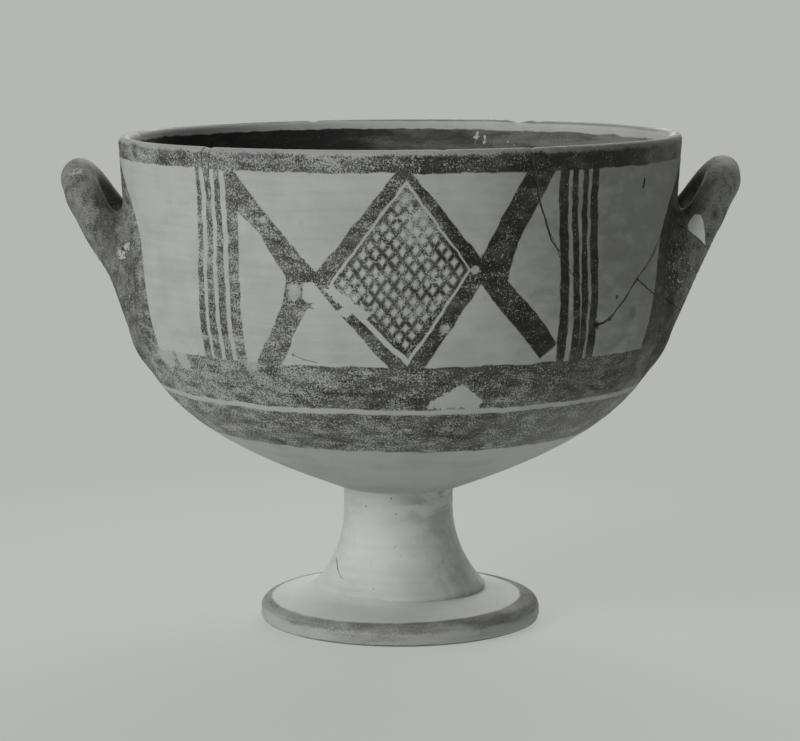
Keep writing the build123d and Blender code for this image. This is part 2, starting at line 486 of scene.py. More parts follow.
class Plan:
    """The painter's flat plan of the wall: millimetres round from the front, and height."""

    SWAY = 2.2
    SWAY_PITCH = 9.0
    CRACK_END = 0.3

    def __init__(self, graph: Graph, radius: float) -> None:
        """Sets out the plan on both faces of the cup, the back turned half round.

        Args:
            graph: the material's graph.
            radius: wall radius, which turns degrees into millimetres.
        """
        self.graph = graph
        self.degree = radius * math.pi / 180
        split = graph.node("ShaderNodeSeparateXYZ", sockets={0: graph.place})
        self.across, depth, self.height = (Value(graph, s) for s in split.outputs)
        face = graph.math("SIGN", 0.0 - depth)
        turn = graph.math("ARCTAN2", self.across * face, abs(depth))
        self.face = face
        self.azimuth = turn * (180 / math.pi)
        self.distance = graph.math("SQRT", self.across * self.across + depth * depth)
        sway_round = (graph.noise(self.SWAY_PITCH, 2.0, shift=71.0) - 0.5) * self.SWAY
        sway_up = (graph.noise(self.SWAY_PITCH, 2.0, shift=83.0) - 0.5) * self.SWAY
        self.point = graph.vector(self.azimuth * self.degree + sway_round, self.height + sway_up, 1.0)
        self.up = self.height + sway_up

    def line(self, start: Pair, end: Pair) -> tuple[Pair, Pair, float]:
        """Sets out a line in millimetres of the plan.

        Args:
            start: its first point as (azimuth, height).
            end: its last point.

        Returns:
            Its first point, its unit direction and its length.
        """
        (x0, z0), (x1, z1) = ((a * self.degree, z) for a, z in (start, end))
        length = math.hypot(x1 - x0, z1 - z0)
        return (x0, z0), ((x1 - x0) / length, (z1 - z0) / length), length

    def beside(self, start: Pair, end: Pair) -> Value:
        """Millimetres from the line between two points, above 0 on its right."""
        (x0, z0), (x, z), _ = self.line(start, end)
        return self.graph.dot(self.point, (z, -x, x * z0 - z * x0))

    def along(self, start: Pair, end: Pair) -> Value:
        """Millimetres along the line between two points, 0 at the first."""
        (x0, z0), (x, z), _ = self.line(start, end)
        return self.graph.dot(self.point, (x, z, -x * x0 - z * z0))

    def inside(self, corners: Sequence[Pair]) -> Value:
        """How deep a place lies inside a convex outline.

        Args:
            corners: corners as (azimuth, height), clockwise or not.

        Returns:
            Millimetres inside the nearest edge, below 0 outside.
        """
        area = sum(a[0] * b[1] - b[0] * a[1] for a, b in zip(corners, (*corners[1:], corners[0])))
        ring = corners if area < 0 else corners[::-1]
        sides = zip(ring, (*ring[1:], ring[0]))
        return reduce(and_, (self.beside(start, end) for start, end in sides))

    def ribbon(self, sections: Sequence[tuple[Pair, Pair]], lap: float = 1.0) -> Value:
        """Depth inside a brush stroke.

        Args:
            sections: the two ends of its cross-sections, in order along it.
            lap: how far its runs overlap, in millimetres.

        Returns:
            Millimetres inside its edge, below 0 outside.
        """
        parts: list[Value] = []
        count = len(sections) - 1
        for i in range(count):
            first, last = np.array(sections[i]), np.array(sections[i + 1])
            run = last - first
            reach = run * lap / np.linalg.norm(run.mean(axis=0) * (self.degree, 1.0))
            if i > 0:
                first = first - reach
            if i < count - 1:
                last = last + reach
            parts.append(self.inside(np.array([first[0], last[0], last[1], first[1]]).tolist()))
        return reduce(or_, parts)

    def band(self, low: float, high: float) -> Value:
        """Depth inside a band round the cup between two heights."""
        return (self.up - low) & (high - self.up)

    def on_face(self, mask: Value, back: bool = False) -> Value:
        """Keeps a mask to one face of the cup."""
        return mask & self.graph.rise(0.0 - self.face if back else self.face, 0.0, 0.1)

    def spot(self, spot: Spot) -> Value:
        """Soft mask of one round mark.

        Args:
            spot: the mark.

        Returns:
            The mask.
        """
        azimuth = spot.azimuth - (180.0 if spot.back else 0.0)
        x = self.graph.dot(self.point, (1.0, 0.0, -azimuth * self.degree))
        z = self.graph.dot(self.point, (0.0, 1.0, -spot.height))
        away = self.graph.math("SQRT", x * x + z * z)
        return self.on_face(self.graph.rise(away, spot.size, spot.size * 0.35), spot.back) * spot.strength

    def spots(self, spots: Sequence[Spot]) -> Value:
        """Soft mask of round marks."""
        return reduce(or_, (self.spot(spot) for spot in spots))

    def cracks(self, cracks: Sequence[Crack]) -> Value:
        """Mask of crack lines on the front face.

        Args:
            cracks: the lines.

        Returns:
            The mask.
        """
        parts: list[Value] = []
        for crack in cracks:
            for start, end in zip(crack.points, crack.points[1:]):
                run, length = self.along(start, end), self.line(start, end)[2]
                ends = (run + self.CRACK_END) & (length + self.CRACK_END - run)
                parts.append((crack.width / 2 - abs(self.beside(start, end))) & ends)
        return self.on_face(self.graph.rise(reduce(or_, parts), -0.15, 0.2))


@dataclass(frozen=True)
class WallPainting:
    """The painted outside of the bowl: a panel with a netted lozenge and crossed bars on each face."""

    radius: float
    # The wall's clay carries painted shade on its right.
    paint: Paint = Paint(tone=32.0, clay=Clay(right_shade_tone=122.0))
    rim_band: Pair = (184.8, 194.0)
    lip: Pair = (190.2, 192.4)
    upper_band: Pair = (98.0, 114.9)
    lower_band: Pair = (79.3, 96.0)
    band_tilt: float = 0.014
    stripe_top: float = 186.0
    stripe_foot: float = 113.5
    ground_start: float = 60.0
    ground_foot: float = 114.0
    ground_lean: float = 0.11
    ground_bend: float = 150.0
    ground_curve: float = 0.012
    cover_left: float = 0.57
    right_gain: float = 0.3
    right_across: Pair = (-32.0, 44.0)
    left_loss: float = 0.1
    left_across: Pair = (-30.0, -90.0)
    low_loss: float = 0.22
    low_height: Pair = (120.0, 112.0)
    net_loss: float = 0.04
    lip_loss: float = 0.6
    blotch_loss: float = 0.4
    wear_pitch: float = 38.0
    thinness: float = 0.5
    thin_zones: tuple[tuple[Pair, Pair], ...] = (
        ((10.0, 70.0), (104.0, 90.0)),
        ((78.0, 104.0), (178.0, 186.0)),
    )
    loss_pitch: float = 2.4
    loss_fray: float = 5.0
    net_cells: float = 10.0
    cell_half: float = 0.27
    net_margin: float = 1.4
    net_softness: float = 1.9
    stripes: tuple[tuple[float, float, float, float], ...] = (
        (-42.3, -42.1, 2.1, 3.6),
        (-39.7, -39.5, 2.5, 3.7),
        (-37.4, -36.5, 2.6, 3.8),
        (-34.2, -33.2, 4.9, 4.8),
        (32.8, 33.7, 3.9, 4.3),
        (35.3, 37.0, 2.6, 3.5),
        (37.9, 38.7, 2.5, 3.4),
        (40.4, 41.3, 3.6, 4.0),
    )
    upper_left_bar: tuple[tuple[Pair, Pair], ...] = (
        ((-33.6, 186.0), (-33.6, 171.6)),
        ((-25.4, 167.7), (-27.4, 161.8)),
        ((-20.5, 158.0), (-23.7, 150.8)),
        ((-16.4, 149.3), (-22.4, 147.3)),
        ((-15.2, 145.6), (-22.3, 145.0)),
    )
    lower_left_bar: tuple[tuple[Pair, Pair], ...] = (
        ((-22.3, 145.2), (-18.4, 145.4)),
        ((-22.7, 139.4), (-18.7, 139.7)),
        ((-23.0, 137.4), (-17.1, 137.0)),
        ((-23.7, 134.2), (-19.6, 130.6)),
        ((-26.0, 125.6), (-21.6, 122.3)),
        ((-30.0, 114.0), (-24.8, 112.4)),
    )
    upper_right_bar: tuple[tuple[Pair, Pair], ...] = (
        ((24.8, 186.0), (31.0, 186.0)),
        ((20.2, 170.5), (26.4, 170.0)),
        ((17.6, 161.5), (23.0, 160.0)),
        ((15.4, 154.0), (20.9, 145.4)),
        ((14.8, 145.0), (20.8, 145.0)),
    )
    lower_right_bar: tuple[tuple[Pair, Pair], ...] = (
        ((20.9, 145.4), (15.0, 145.6)),
        ((27.0, 133.9), (21.6, 130.7)),
        ((32.4, 121.8), (28.8, 116.4)),
    )
    lozenge: tuple[Pair, ...] = ((0.6, 188.5), (17.2, 150.2), (1.7, 106.3), (-17.2, 146.4))
    line_outside: tuple[Pair, ...] = ((1.1, 182.3), (13.5, 150.1), (1.35, 115.2), (-13.9, 144.2))
    line_inside: tuple[Pair, ...] = ((1.05, 180.6), (13.0, 150.3), (1.5, 117.8), (-12.9, 145.1))
    net: tuple[Pair, ...] = ((0.9, 178.6), (12.6, 150.2), (1.6, 120.2), (-12.1, 145.4))
    losses: tuple[tuple[Pair, ...], ...] = (
        ((-14.9, 143.3), (-12.5, 144.2), (-5.4, 134.9), (-6.8, 132.3), (-10.4, 136.4)),
        ((-12.2, 134.6), (-10.2, 137.4), (-8.4, 135.2), (-10.2, 132.7)),
        (
            (5.4, 102.3),
            (10.3, 105.7),
            (12.6, 108.3),
            (16.4, 103.3),
            (17.8, 100.8),
            (17.6, 97.5),
            (6.0, 98.6),
        ),
    )
    thin_spots: tuple[Spot, ...] = (
        Spot(-20.5, 141.8, 4.0, 0.36),
        Spot(-26.9, 167.3, 1.6, 0.6),
        Spot(-58.0, 114.0, 9.0, 0.3),
        Spot(-51.0, 112.5, 5.0, 0.4),
        Spot(4.7, 166.0, 9.0, 0.24),
        Spot(0.9, 176.0, 5.0, 0.3),
        Spot(14.3, 150.3, 2.2, 0.8),
        Spot(-31.0, 112.0, 4.0, 0.18),
        Spot(8.4, 129.0, 2.6, 0.4),
    )
    thick_spots: tuple[Spot, ...] = (
        Spot(10.5, 164.0, 18.0, 0.13),
    )
    pits: tuple[Spot, ...] = (
        Spot(42.4, 127.2, 2.1, 0.9),
        Spot(41.0, 123.2, 1.3, 0.9),
        Spot(47.6, 136.7, 1.0, 0.9),
        Spot(53.5, 129.8, 3.4, 0.3),
        Spot(45.9, 128.9, 1.2, 0.9),
        Spot(54.4, 142.2, 1.2, 0.9),
        Spot(-39.9, 130.9, 0.9, 0.9),
        Spot(-39.0, 129.7, 0.8, 0.8),
        Spot(-21.4, 118.8, 0.8, 0.7),
    )
    cracks: tuple[Crack, ...] = (
        Crack(0.6, ((42.5, 127.1), (45.9, 128.8), (49.3, 134.2), (54.3, 142.3))),
        Crack(0.4, ((54.3, 142.3), (61.3, 150.6), (65.2, 157.1), (70.0, 165.9), (74.0, 174.1))),
        Crack(0.55, ((54.3, 142.3), (58.6, 138.2), (64.4, 133.4), (66.9, 131.7))),
        Crack(0.3, ((24.3, 191.8), (26.7, 179.9), (27.5, 173.7))),
        Crack(0.6, ((27.5, 173.7), (28.8, 166.4), (30.7, 158.6), (31.9, 155.2))),
        Crack(1.3, ((55.8, 176.0), (56.1, 179.0))),
        Crack(0.25, ((-21.4, 118.8), (-19.1, 117.0), (-16.5, 116.2))),
    )

    def drawing(self, plan: Plan) -> Value:
        """Draws the dark shapes of the panel.

        Args:
            plan: the painter's plan.

        Returns:
            Millimetres inside their edges, below 0 outside.
        """
        lozenge = plan.inside(self.lozenge) & (0.0 - plan.inside(self.line_outside))
        netting = plan.inside(self.line_inside) & (0.0 - self.cells(plan))
        bars = (self.upper_left_bar, self.lower_left_bar, self.upper_right_bar, self.lower_right_bar)
        shapes = [lozenge, netting, *(plan.ribbon(bar) for bar in bars)]
        for top, foot, top_width, foot_width in self.stripes:
            half_top, half_foot = top_width / plan.degree / 2, foot_width / plan.degree / 2
            ends = ((top - half_top, self.stripe_top), (top + half_top, self.stripe_top))
            feet = ((foot - half_foot, self.stripe_foot), (foot + half_foot, self.stripe_foot))
            shapes.append(plan.ribbon((ends, feet)))
        return reduce(or_, shapes)

    def cells(self, plan: Plan) -> Value:
        """Draws the light cells of the lozenge's net.

        Args:
            plan: the painter's plan.

        Returns:
            Depth inside them, below 0 outside.
        """
        top, right, _, left = ((a * plan.degree, z) for a, z in self.net)
        along = np.linalg.inv(np.array([np.subtract(right, top), np.subtract(left, top)]).T)
        parts: list[Value] = []
        for row in along * self.net_cells:
            share = plan.graph.dot(plan.point, (*row, -float(row @ top)))
            parts.append(self.cell_half - abs(plan.graph.math("FRACT", share) - 0.5))
        margin = plan.inside(self.line_inside) - self.net_margin
        return (reduce(and_, parts) * self.net_softness) & margin

    def handle_ground(self, plan: Plan) -> Value:
        """Draws the dark ground on which a handle stands.

        Args:
            plan: the painter's plan.

        Returns:
            Millimetres inside its edge, below 0 outside.
        """
        above = (plan.up - self.ground_bend) | 0.0
        shoulder = above * above * self.ground_curve
        start = self.ground_start + (plan.up - self.ground_foot) * self.ground_lean + shoulder
        inside = (abs(plan.azimuth) - start) * plan.degree
        return inside & plan.band(self.lower_band[1] + 2.0, self.rim_band[1])

    def cover(self, plan: Plan) -> Value:
        """Says how much of the paint is left: thin on the left and in the middle, whole on the right.

        Args:
            plan: the painter's plan.

        Returns:
            The share that is left.
        """
        graph = plan.graph
        right = graph.rise(plan.across, *self.right_across)
        broad = graph.noise(self.wear_pitch, 2.0, shift=5.0) - 0.5
        low = graph.rise(plan.height, *self.low_height)
        netted = graph.rise(plan.inside(self.line_inside), -0.5, 0.5)
        left = graph.rise(plan.across, *self.left_across) * low
        gain = self.right_gain - low * self.low_loss - netted * self.net_loss
        thick = right * gain - left * self.left_loss
        lip = graph.rise(plan.up, *self.lip)
        spots = plan.spots(self.thick_spots) - plan.spots(self.thin_spots)
        return self.cover_left + thick + broad * self.blotch_loss - lip * self.lip_loss + spots

    def material(self, name: str) -> bpy.types.Material:
        """Makes a material of the painted wall.

        Args:
            name: name of the material.

        Returns:
            The material.
        """
        graph = Graph(name)
        plan = Plan(graph, self.radius)
        tilted = plan.up + plan.across * self.band_tilt - self.lower_band[0]
        bands = plan.band(*self.rim_band) | plan.band(*self.upper_band)
        bands = bands | plan.band(*self.lower_band) & tilted
        dark = self.drawing(plan) | self.handle_ground(plan) | bands
        fray = (graph.noise(self.loss_pitch, 3.0, shift=91.0) - 0.5) * self.loss_fray
        lost = reduce(or_, (plan.inside(corners) for corners in self.losses)) + fray
        edge = self.paint.edge
        drawn = graph.rise(dark, -edge, edge) & ~plan.on_face(graph.rise(lost, -edge, edge))
        dark_marks = plan.spots(self.pits) | plan.cracks(self.cracks)
        zones = (
            graph.rise(plan.across, *across) & graph.rise(plan.height, *height)
            for across, height in self.thin_zones
        )
        return self.paint.coat(graph, drawn, self.cover(plan), dark_marks, reduce(or_, zones) * self.thinness)


@dataclass(frozen=True)
class InsidePainting:
    """Dark wash inside the bowl, with a reserved line under the lip, thinned towards the right as painted
    light.
    """

    radius: float
    paint: Paint = Paint(
        tone=48.0,
        thin_tone=128.0,
        stain=0.85,
        streak=(0.2, 0.2, 1.0),
        clay=Clay(tone=196.0, blotch_tone=182.0),
    )
    wash_top: float = 189.0
    lip_line: float = 192.1
    lip_cover: float = 0.6
    lip_gap: float = 24.0
    lip_sway: float = 1.4
    fleck: float = 2.6
    fleck_limit: float = 0.86
    flake_loss: float = 0.3
    blotch: float = 30.0
    # Painted light: the wash is thinned and lighter towards the right, where the window lights the inner
    # wall.
    right_thinning: float = 0.55
    right_across: Pair = (-60.0, 105.0)
    floor_loss: float = 0.3
    floor_reach: Pair = (52.0, 8.0)
    flaked: tuple[Spot, ...] = (
        Spot(160.8, 185.4, 6.0, back=True),
        Spot(153.5, 183.0, 5.0, 0.8, back=True),
        Spot(182.0, 181.6, 8.0, 0.8, back=True),
        Spot(172.0, 184.0, 6.0, 0.6, back=True),
        Spot(143.0, 181.0, 7.0, 0.6, back=True),
    )

    def material(self, name: str) -> bpy.types.Material:
        """Makes a material of the painted inside.

        Args:
            name: name of the material.

        Returns:
            The material.
        """
        graph = Graph(name)
        plan = Plan(graph, self.radius)
        broken = (graph.noise(self.lip_gap, 3.0, shift=37.0) - 0.5) * self.lip_sway
        lip = plan.on_face(graph.rise(plan.height + broken, self.lip_line, self.lip_line + 0.4), back=True)
        limit = self.fleck_limit - plan.spots(self.flaked) * self.flake_loss
        flecks = graph.noise(self.fleck, 3.0, shift=29.0)
        lost = graph.rise(flecks, limit, limit + 0.04)
        wash = graph.rise(self.wash_top - plan.up, -self.paint.edge, self.paint.edge)
        drawn = (wash | lip * self.lip_cover) & ~lost
        broad = graph.noise(self.blotch, 3.0, (0.6, 0.6, 1.2), 5.0) - 0.5
        # Painted light on the inner right wall.
        right = graph.rise(plan.across, *self.right_across) * self.right_thinning
        floor = graph.rise(plan.distance, *self.floor_reach) * self.floor_loss
        return self.paint.coat(graph, drawn, 1.0 - right - floor + broad * 0.5)


@dataclass(frozen=True)
class Rub:
    """A place where a handle is rubbed: its middle, its half-width and how much paint is gone."""

    middle: tuple[float, float, float]
    size: float
    strength: float

    def mask(self, graph: Graph) -> Value:
        """Soft mask of the place.

        Args:
            graph: the material's graph.

        Returns:
            The mask.
        """
        sockets = {0: graph.place, 1: self.middle}
        away = graph.node("ShaderNodeVectorMath", {"operation": "DISTANCE"}, sockets).outputs["Value"]
        return graph.rise(Value(graph, away), self.size, self.size * 0.2) * self.strength


@dataclass(frozen=True)
class HandlePainting:
    """Dark slip all over a handle, rubbed where a hand holds it, with painted light on its top and painted
    shade at the right handle's root.
    """

    radius: float
    paint: Paint = Paint(tone=52.0, thin_tone=116.0, roughness=0.7, stain=0.6, streak=(1.0, 1.0, 0.6))
    cover: float = 0.56
    # Painted shade: darker, thicker paint close to the wall at the right handle's root, in the crease
    # between leg and wall.
    root_shade_cover: float = 0.34
    root_shade_reach: float = 9.0
    root_shade_across: Pair = (-20.0, 20.0)
    fleck: float = 1.1
    fleck_limit: float = 0.71
    blotch: float = 8.0
    # Painted light: the paint is thinned towards the top, lighter where the handle's upper face catches the
    # light.
    top: Pair = (162.0, 182.0)
    top_light_share: float = 0.16

    def material(self, name: str, rubs: Sequence[Rub]) -> bpy.types.Material:
        """Makes a material of a painted handle.

        Args:
            name: name of the material.
            rubs: its rubbed places.

        Returns:
            The material.
        """
        graph = Graph(name)
        plan = Plan(graph, self.radius)
        limit = self.fleck_limit - reduce(or_, (rub.mask(graph) for rub in rubs))
        flecks = graph.noise(self.fleck, 3.0, shift=27.0)
        drawn = ~graph.rise(flecks, limit, limit + 0.05)
        # Painted shade in the crease where the leg meets the wall, on the right handle only.
        near = graph.rise(plan.distance, self.radius + self.root_shade_reach, self.radius)
        dark = near * graph.rise(plan.across, *self.root_shade_across) * self.root_shade_cover
        # Painted light on the handle's lit top: the paint is thinned there.
        worn = graph.rise(plan.height, *self.top) * self.top_light_share
        broad = graph.noise(self.blotch, 3.0, shift=5.0) - 0.5
        return self.paint.coat(graph, drawn, self.cover + dark - worn + broad * 0.5)


@dataclass(frozen=True)
class FootPainting:
    """Dark band round the edge of the foot, with a painted contact shadow along its heel."""

    paint: Paint = Paint(
        tone=98.0,
        thin_tone=158.0,
        roughness=0.88,
        edge=0.7,
        stain=0.75,
        streak=(0.2, 0.2, 1.0),
        clay=Clay(tone=200.0, blotch_tone=190.0),
    )
    band_inside: float = 49.2
    shift_right: float = -0.033
    shift_back: float = -0.06
    cover: float = 0.72
    dark_foot: float = 5.6
    low_loss: float = 0.3
    right_across: Pair = (-10.0, 30.0)
    right_thinning: float = 0.16
    top_height: Pair = (6.2, 8.2)
    top_gain: float = 0.2
    left_across: Pair = (-15.0, -55.0)
    left_loss: float = 0.16
    band_foot: float = 1.2
    sway: float = 1.6
    # Painted contact shadow: a dark line round the bottom of the foot, where it stands on the table.
    contact_shadow_height: float = 1.5
    contact_shadow_strength: float = 0.7

    def material(self, name: str) -> bpy.types.Material:
        """Makes a material of the painted foot.

        Args:
            name: name of the material.

        Returns:
            The material.
        """
        graph = Graph(name)
        plan = Plan(graph, self.band_inside)
        sway = (graph.noise(plan.SWAY_PITCH, 2.0, shift=71.0) - 0.5) * self.sway
        out = plan.distance - graph.dot(graph.place, (self.shift_right, self.shift_back, 0.0))
        dark = (out + sway - self.band_inside) & (plan.height + sway * 0.3 - self.band_foot)
        drawn = graph.rise(dark, -self.paint.edge, self.paint.edge)
        low = graph.rise(plan.height + sway * 1.5, self.dark_foot + 0.8, self.dark_foot - 0.8)
        top = graph.rise(plan.height, *self.top_height)
        right = graph.rise(plan.across, *self.right_across) * (top * self.top_gain - self.right_thinning)
        left = graph.rise(plan.across, *self.left_across) * self.left_loss
        # Painted contact shadow along the heel.
        contact_shadow = graph.rise(plan.height + sway * 0.5, self.contact_shadow_height, self.contact_shadow_height * 0.6)
        cover = self.cover - low * self.low_loss + right - left
        return self.paint.coat(graph, drawn, cover, contact_shadow * self.contact_shadow_strength)


@dataclass(frozen=True)
class StemFinish:
    """Bare clay of the stem, darkened on its right and most under the bowl by a mottled stain with painted
    shade, and scratched here and there.
    """

    radius: float = 22.0
    clay: Clay = Clay(tone=200.0, blotch_tone=186.0)
    # A mottled stain with painted shade: darker on the right, where the stem is turned from the light, and
    # most under the bowl.
    stain_and_shade_tone: float = 112.0
    stain_and_shade_side: Pair = (-0.42, 0.5)
    stain_and_shade_height: Pair = (34.0, 54.0)
    stain_and_shade_low: float = 0.12
    stain_and_shade_high: float = 0.5
    stain_and_shade_fleck: float = 5.0
    drip_side: Pair = (0.21, 0.64)
    drip_height: Pair = (46.0, 36.0)
    drip_share: float = 0.2
    drip_fleck: float = 3.6
    dark_mark_tone: float = 50.0
    dots: tuple[Spot, ...] = (
        Spot(-37.0, 47.7, 0.5, 0.7),
        Spot(-8.2, 52.0, 0.5, 0.7),
        Spot(150.0, 40.0, 0.5, 0.7, back=True),
    )
    scratches: tuple[Crack, ...] = (
        Crack(0.4, ((-72.6, 25.3), (-60.0, 22.2))),
        Crack(0.2, ((-60.0, 22.2), (-48.6, 19.6))),
        Crack(0.4, ((36.3, 54.3), (43.4, 54.0))),
    )

    def material(self, name: str) -> bpy.types.Material:
        """Makes a material of the stem's clay.

        Args:
            name: name of the material.

        Returns:
            The material.
        """
        graph = Graph(name)
        plan = Plan(graph, self.radius)
        colour, normal = self.clay.coat(graph)
        sine = plan.across / plan.distance
        # Mottled stain and painted shade on the right side, strongest under the bowl.
        side = graph.rise(sine, *self.stain_and_shade_side)
        high = graph.rise(plan.height, *self.stain_and_shade_height)
        mottle = graph.rise(graph.noise(self.stain_and_shade_fleck, 4.0, (0.4, 0.4, 1.0), 19.0), 0.4, 0.62)
        stain = side * (self.stain_and_shade_low + high * self.stain_and_shade_high) * mottle
        colour = graph.mix(stain, colour, grey(self.stain_and_shade_tone))
        drips = graph.rise(graph.noise(self.drip_fleck, 5.0, (1.0, 1.0, 0.5), 23.0), 0.42, 0.62)
        low = graph.rise(sine, *self.drip_side) & graph.rise(plan.height, *self.drip_height)
        colour = graph.mix(low * drips * self.drip_share, colour, grey(self.stain_and_shade_tone))
        marks = plan.spots(self.dots) | plan.cracks(self.scratches)
        colour = graph.mix(marks, colour, grey(self.dark_mark_tone))
        return graph.dress(colour, self.clay.roughness, normal)


def place_on_turn(radius: np.ndarray, azimuth: np.ndarray, height: np.ndarray) -> np.ndarray:
    """Points from their distance to the axis, azimuth in radians and height."""
    return np.stack([radius * np.sin(azimuth), -radius * np.cos(azimuth), height], -1)


def make_object(name: str, points: np.ndarray, faces: list[tuple[int, ...]]) -> bpy.types.Object:
    """Makes a mesh object.

    Args:
        name: name of the piece.
        points: its points in millimetres.
        faces: its faces as point numbers.

    Returns:
        The new object, in the scene.
    """
    mesh = bpy.data.meshes.new(name)
    mesh.from_pydata((points * MM).tolist(), [], faces)
    obj = bpy.data.objects.new(name, mesh)
    bpy.context.scene.collection.objects.link(obj)
    return obj


def smooth(obj: bpy.types.Object, crease: float = 42.0) -> None:
    """Shades a piece smooth.

    Args:
        obj: the piece.
        crease: angle in degrees above which an edge stays sharp.
    """
    mesh = obj.data
    mesh.polygons.foreach_set("use_smooth", [True] * len(mesh.polygons))
    mesh.set_sharp_from_angle(angle=math.radians(crease))
    mesh.update()


def lathe(
    name: str, profile: np.ndarray, segments: int, shape: Shape, ring: bool = False
) -> bpy.types.Object:
    """Turns a profile about the upright axis.

    Args:
        name: name of the piece.
        profile: (radius, height) rows from axis to axis, or round a ring's section.
        segments: how many steps round.
        shape: moves the turned points to where the hand left them.
        ring: whether the profile closes on itself and stays off the axis.

    Returns:
        The closed mesh as an object.
    """
    rows = profile if ring else profile[1:-1]
    azimuth = np.linspace(0.0, 2 * math.pi, segments, endpoint=False)
    grid = place_on_turn(rows[:, None, 0], azimuth[None, :], np.repeat(rows[:, 1:], segments, axis=1))
    points = grid.reshape(-1, 3)
    count = len(rows)
    faces: list[tuple[int, ...]] = []
    for i in range(count if ring else count - 1):
        low, high = i * segments, (i + 1) % count * segments
        for j in range(segments):
            k = (j + 1) % segments
            faces.append((low + j, low + k, high + k, high + j))
    if not ring:
        first, last = len(points), len(points) + 1
        poles = [[0.0, 0.0, profile[0, 1]], [0.0, 0.0, profile[-1, 1]]]
        points = np.vstack([points, poles])
        top = (count - 1) * segments
        for j in range(segments):
            k = (j + 1) % segments
            faces.append((first, k, j))
            faces.append((last, top + j, top + k))
    return make_object(name, shape(points), faces)


def span(near: np.ndarray, far: np.ndarray) -> bpy.types.Object:
    """Makes a closed cutting form between two outlines.

    Args:
        near: points of the first outline.
        far: points of the second, in the same order.

    Returns:
        The form.
    """
    count = len(near)
    faces: list[tuple[int, ...]] = [tuple(range(count))[::-1], tuple(range(count, 2 * count))]
    faces += [(i, (i + 1) % count, count + (i + 1) % count, count + i) for i in range(count)]
    tool = make_object("break", np.vstack([near, far]), faces)
    form = bmesh.new()
    form.from_mesh(tool.data)
    bmesh.ops.recalc_face_normals(form, faces=form.faces)
    bmesh.ops.triangulate(form, faces=form.faces)
    form.to_mesh(tool.data)
    form.free()
    return tool


def cut(obj: bpy.types.Object, tool: bpy.types.Object, keep: Cut, name: str) -> bpy.types.Object:
    """Cuts a closed piece with a closed form.

    Args:
        obj: piece to cut, left as it is.
        tool: cutting form.
        keep: which part to keep.
        name: name of the result.

    Returns:
        A new object.
    """
    made = obj.copy()
    made.data = obj.data.copy()
    bpy.context.scene.collection.objects.link(made)
    modifier = made.modifiers.new("cut", "BOOLEAN")
    modifier.operation = keep.value
    modifier.solver = "MANIFOLD"
    modifier.material_mode = "TRANSFER"
    modifier.object = tool
    graph = bpy.context.evaluated_depsgraph_get()
    mesh = bpy.data.meshes.new_from_object(made.evaluated_get(graph))
    made.modifiers.clear()
    made.data = mesh
    made.name = name
    mesh.name = name
    return made


def discard(*objects: bpy.types.Object) -> None:
    """Takes working objects out of the scene."""
    for obj in objects:
        bpy.data.objects.remove(obj)


def settle(obj: bpy.types.Object, slot: Slot, *nodes: str) -> None:
    """Lets a finished piece stand for its CAD nodes and ride on the body.

    Args:
        obj: the piece.
        slot: material slot of the record; not used.
        nodes: CAD nodes that it stands for.
    """
    smooth(obj)
    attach(obj, BODY)
    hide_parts(*nodes)


@dataclass(frozen=True)
class Hand:
    """How far the potter's hand strays from the true form."""

    sway: float = 0.28
    ridge: float = 0.05
    ridge_pitch: float = 5.2

    def out(self, azimuth: np.ndarray, height: np.ndarray) -> np.ndarray:
        """Says how far the wall stands out.

        Args:
            azimuth: where, in radians.
            height: at which heights.

        Returns:
            Millimetres, below 0 where it stands in.
        """
        slow = np.sin(2 * azimuth + 0.9) + 0.6 * np.sin(3 * azimuth - 1.3 + height / 45)
        slow = slow + 0.35 * np.sin(5 * azimuth + 2.2 - height / 30)
        turn = 2 * math.pi * height / self.ridge_pitch
        wheel = np.sin(turn + azimuth + 1.5 * np.sin(height / 19)) + 0.5 * np.sin(1.7 * turn - 2 * azimuth)
        return self.sway * slow / 1.5 + self.ridge * wheel


@dataclass(frozen=True)
class Nick:
    """A small loss: its middle, its half-width and its depth."""

    azimuth: float
    height: float
    size: float
    depth: float


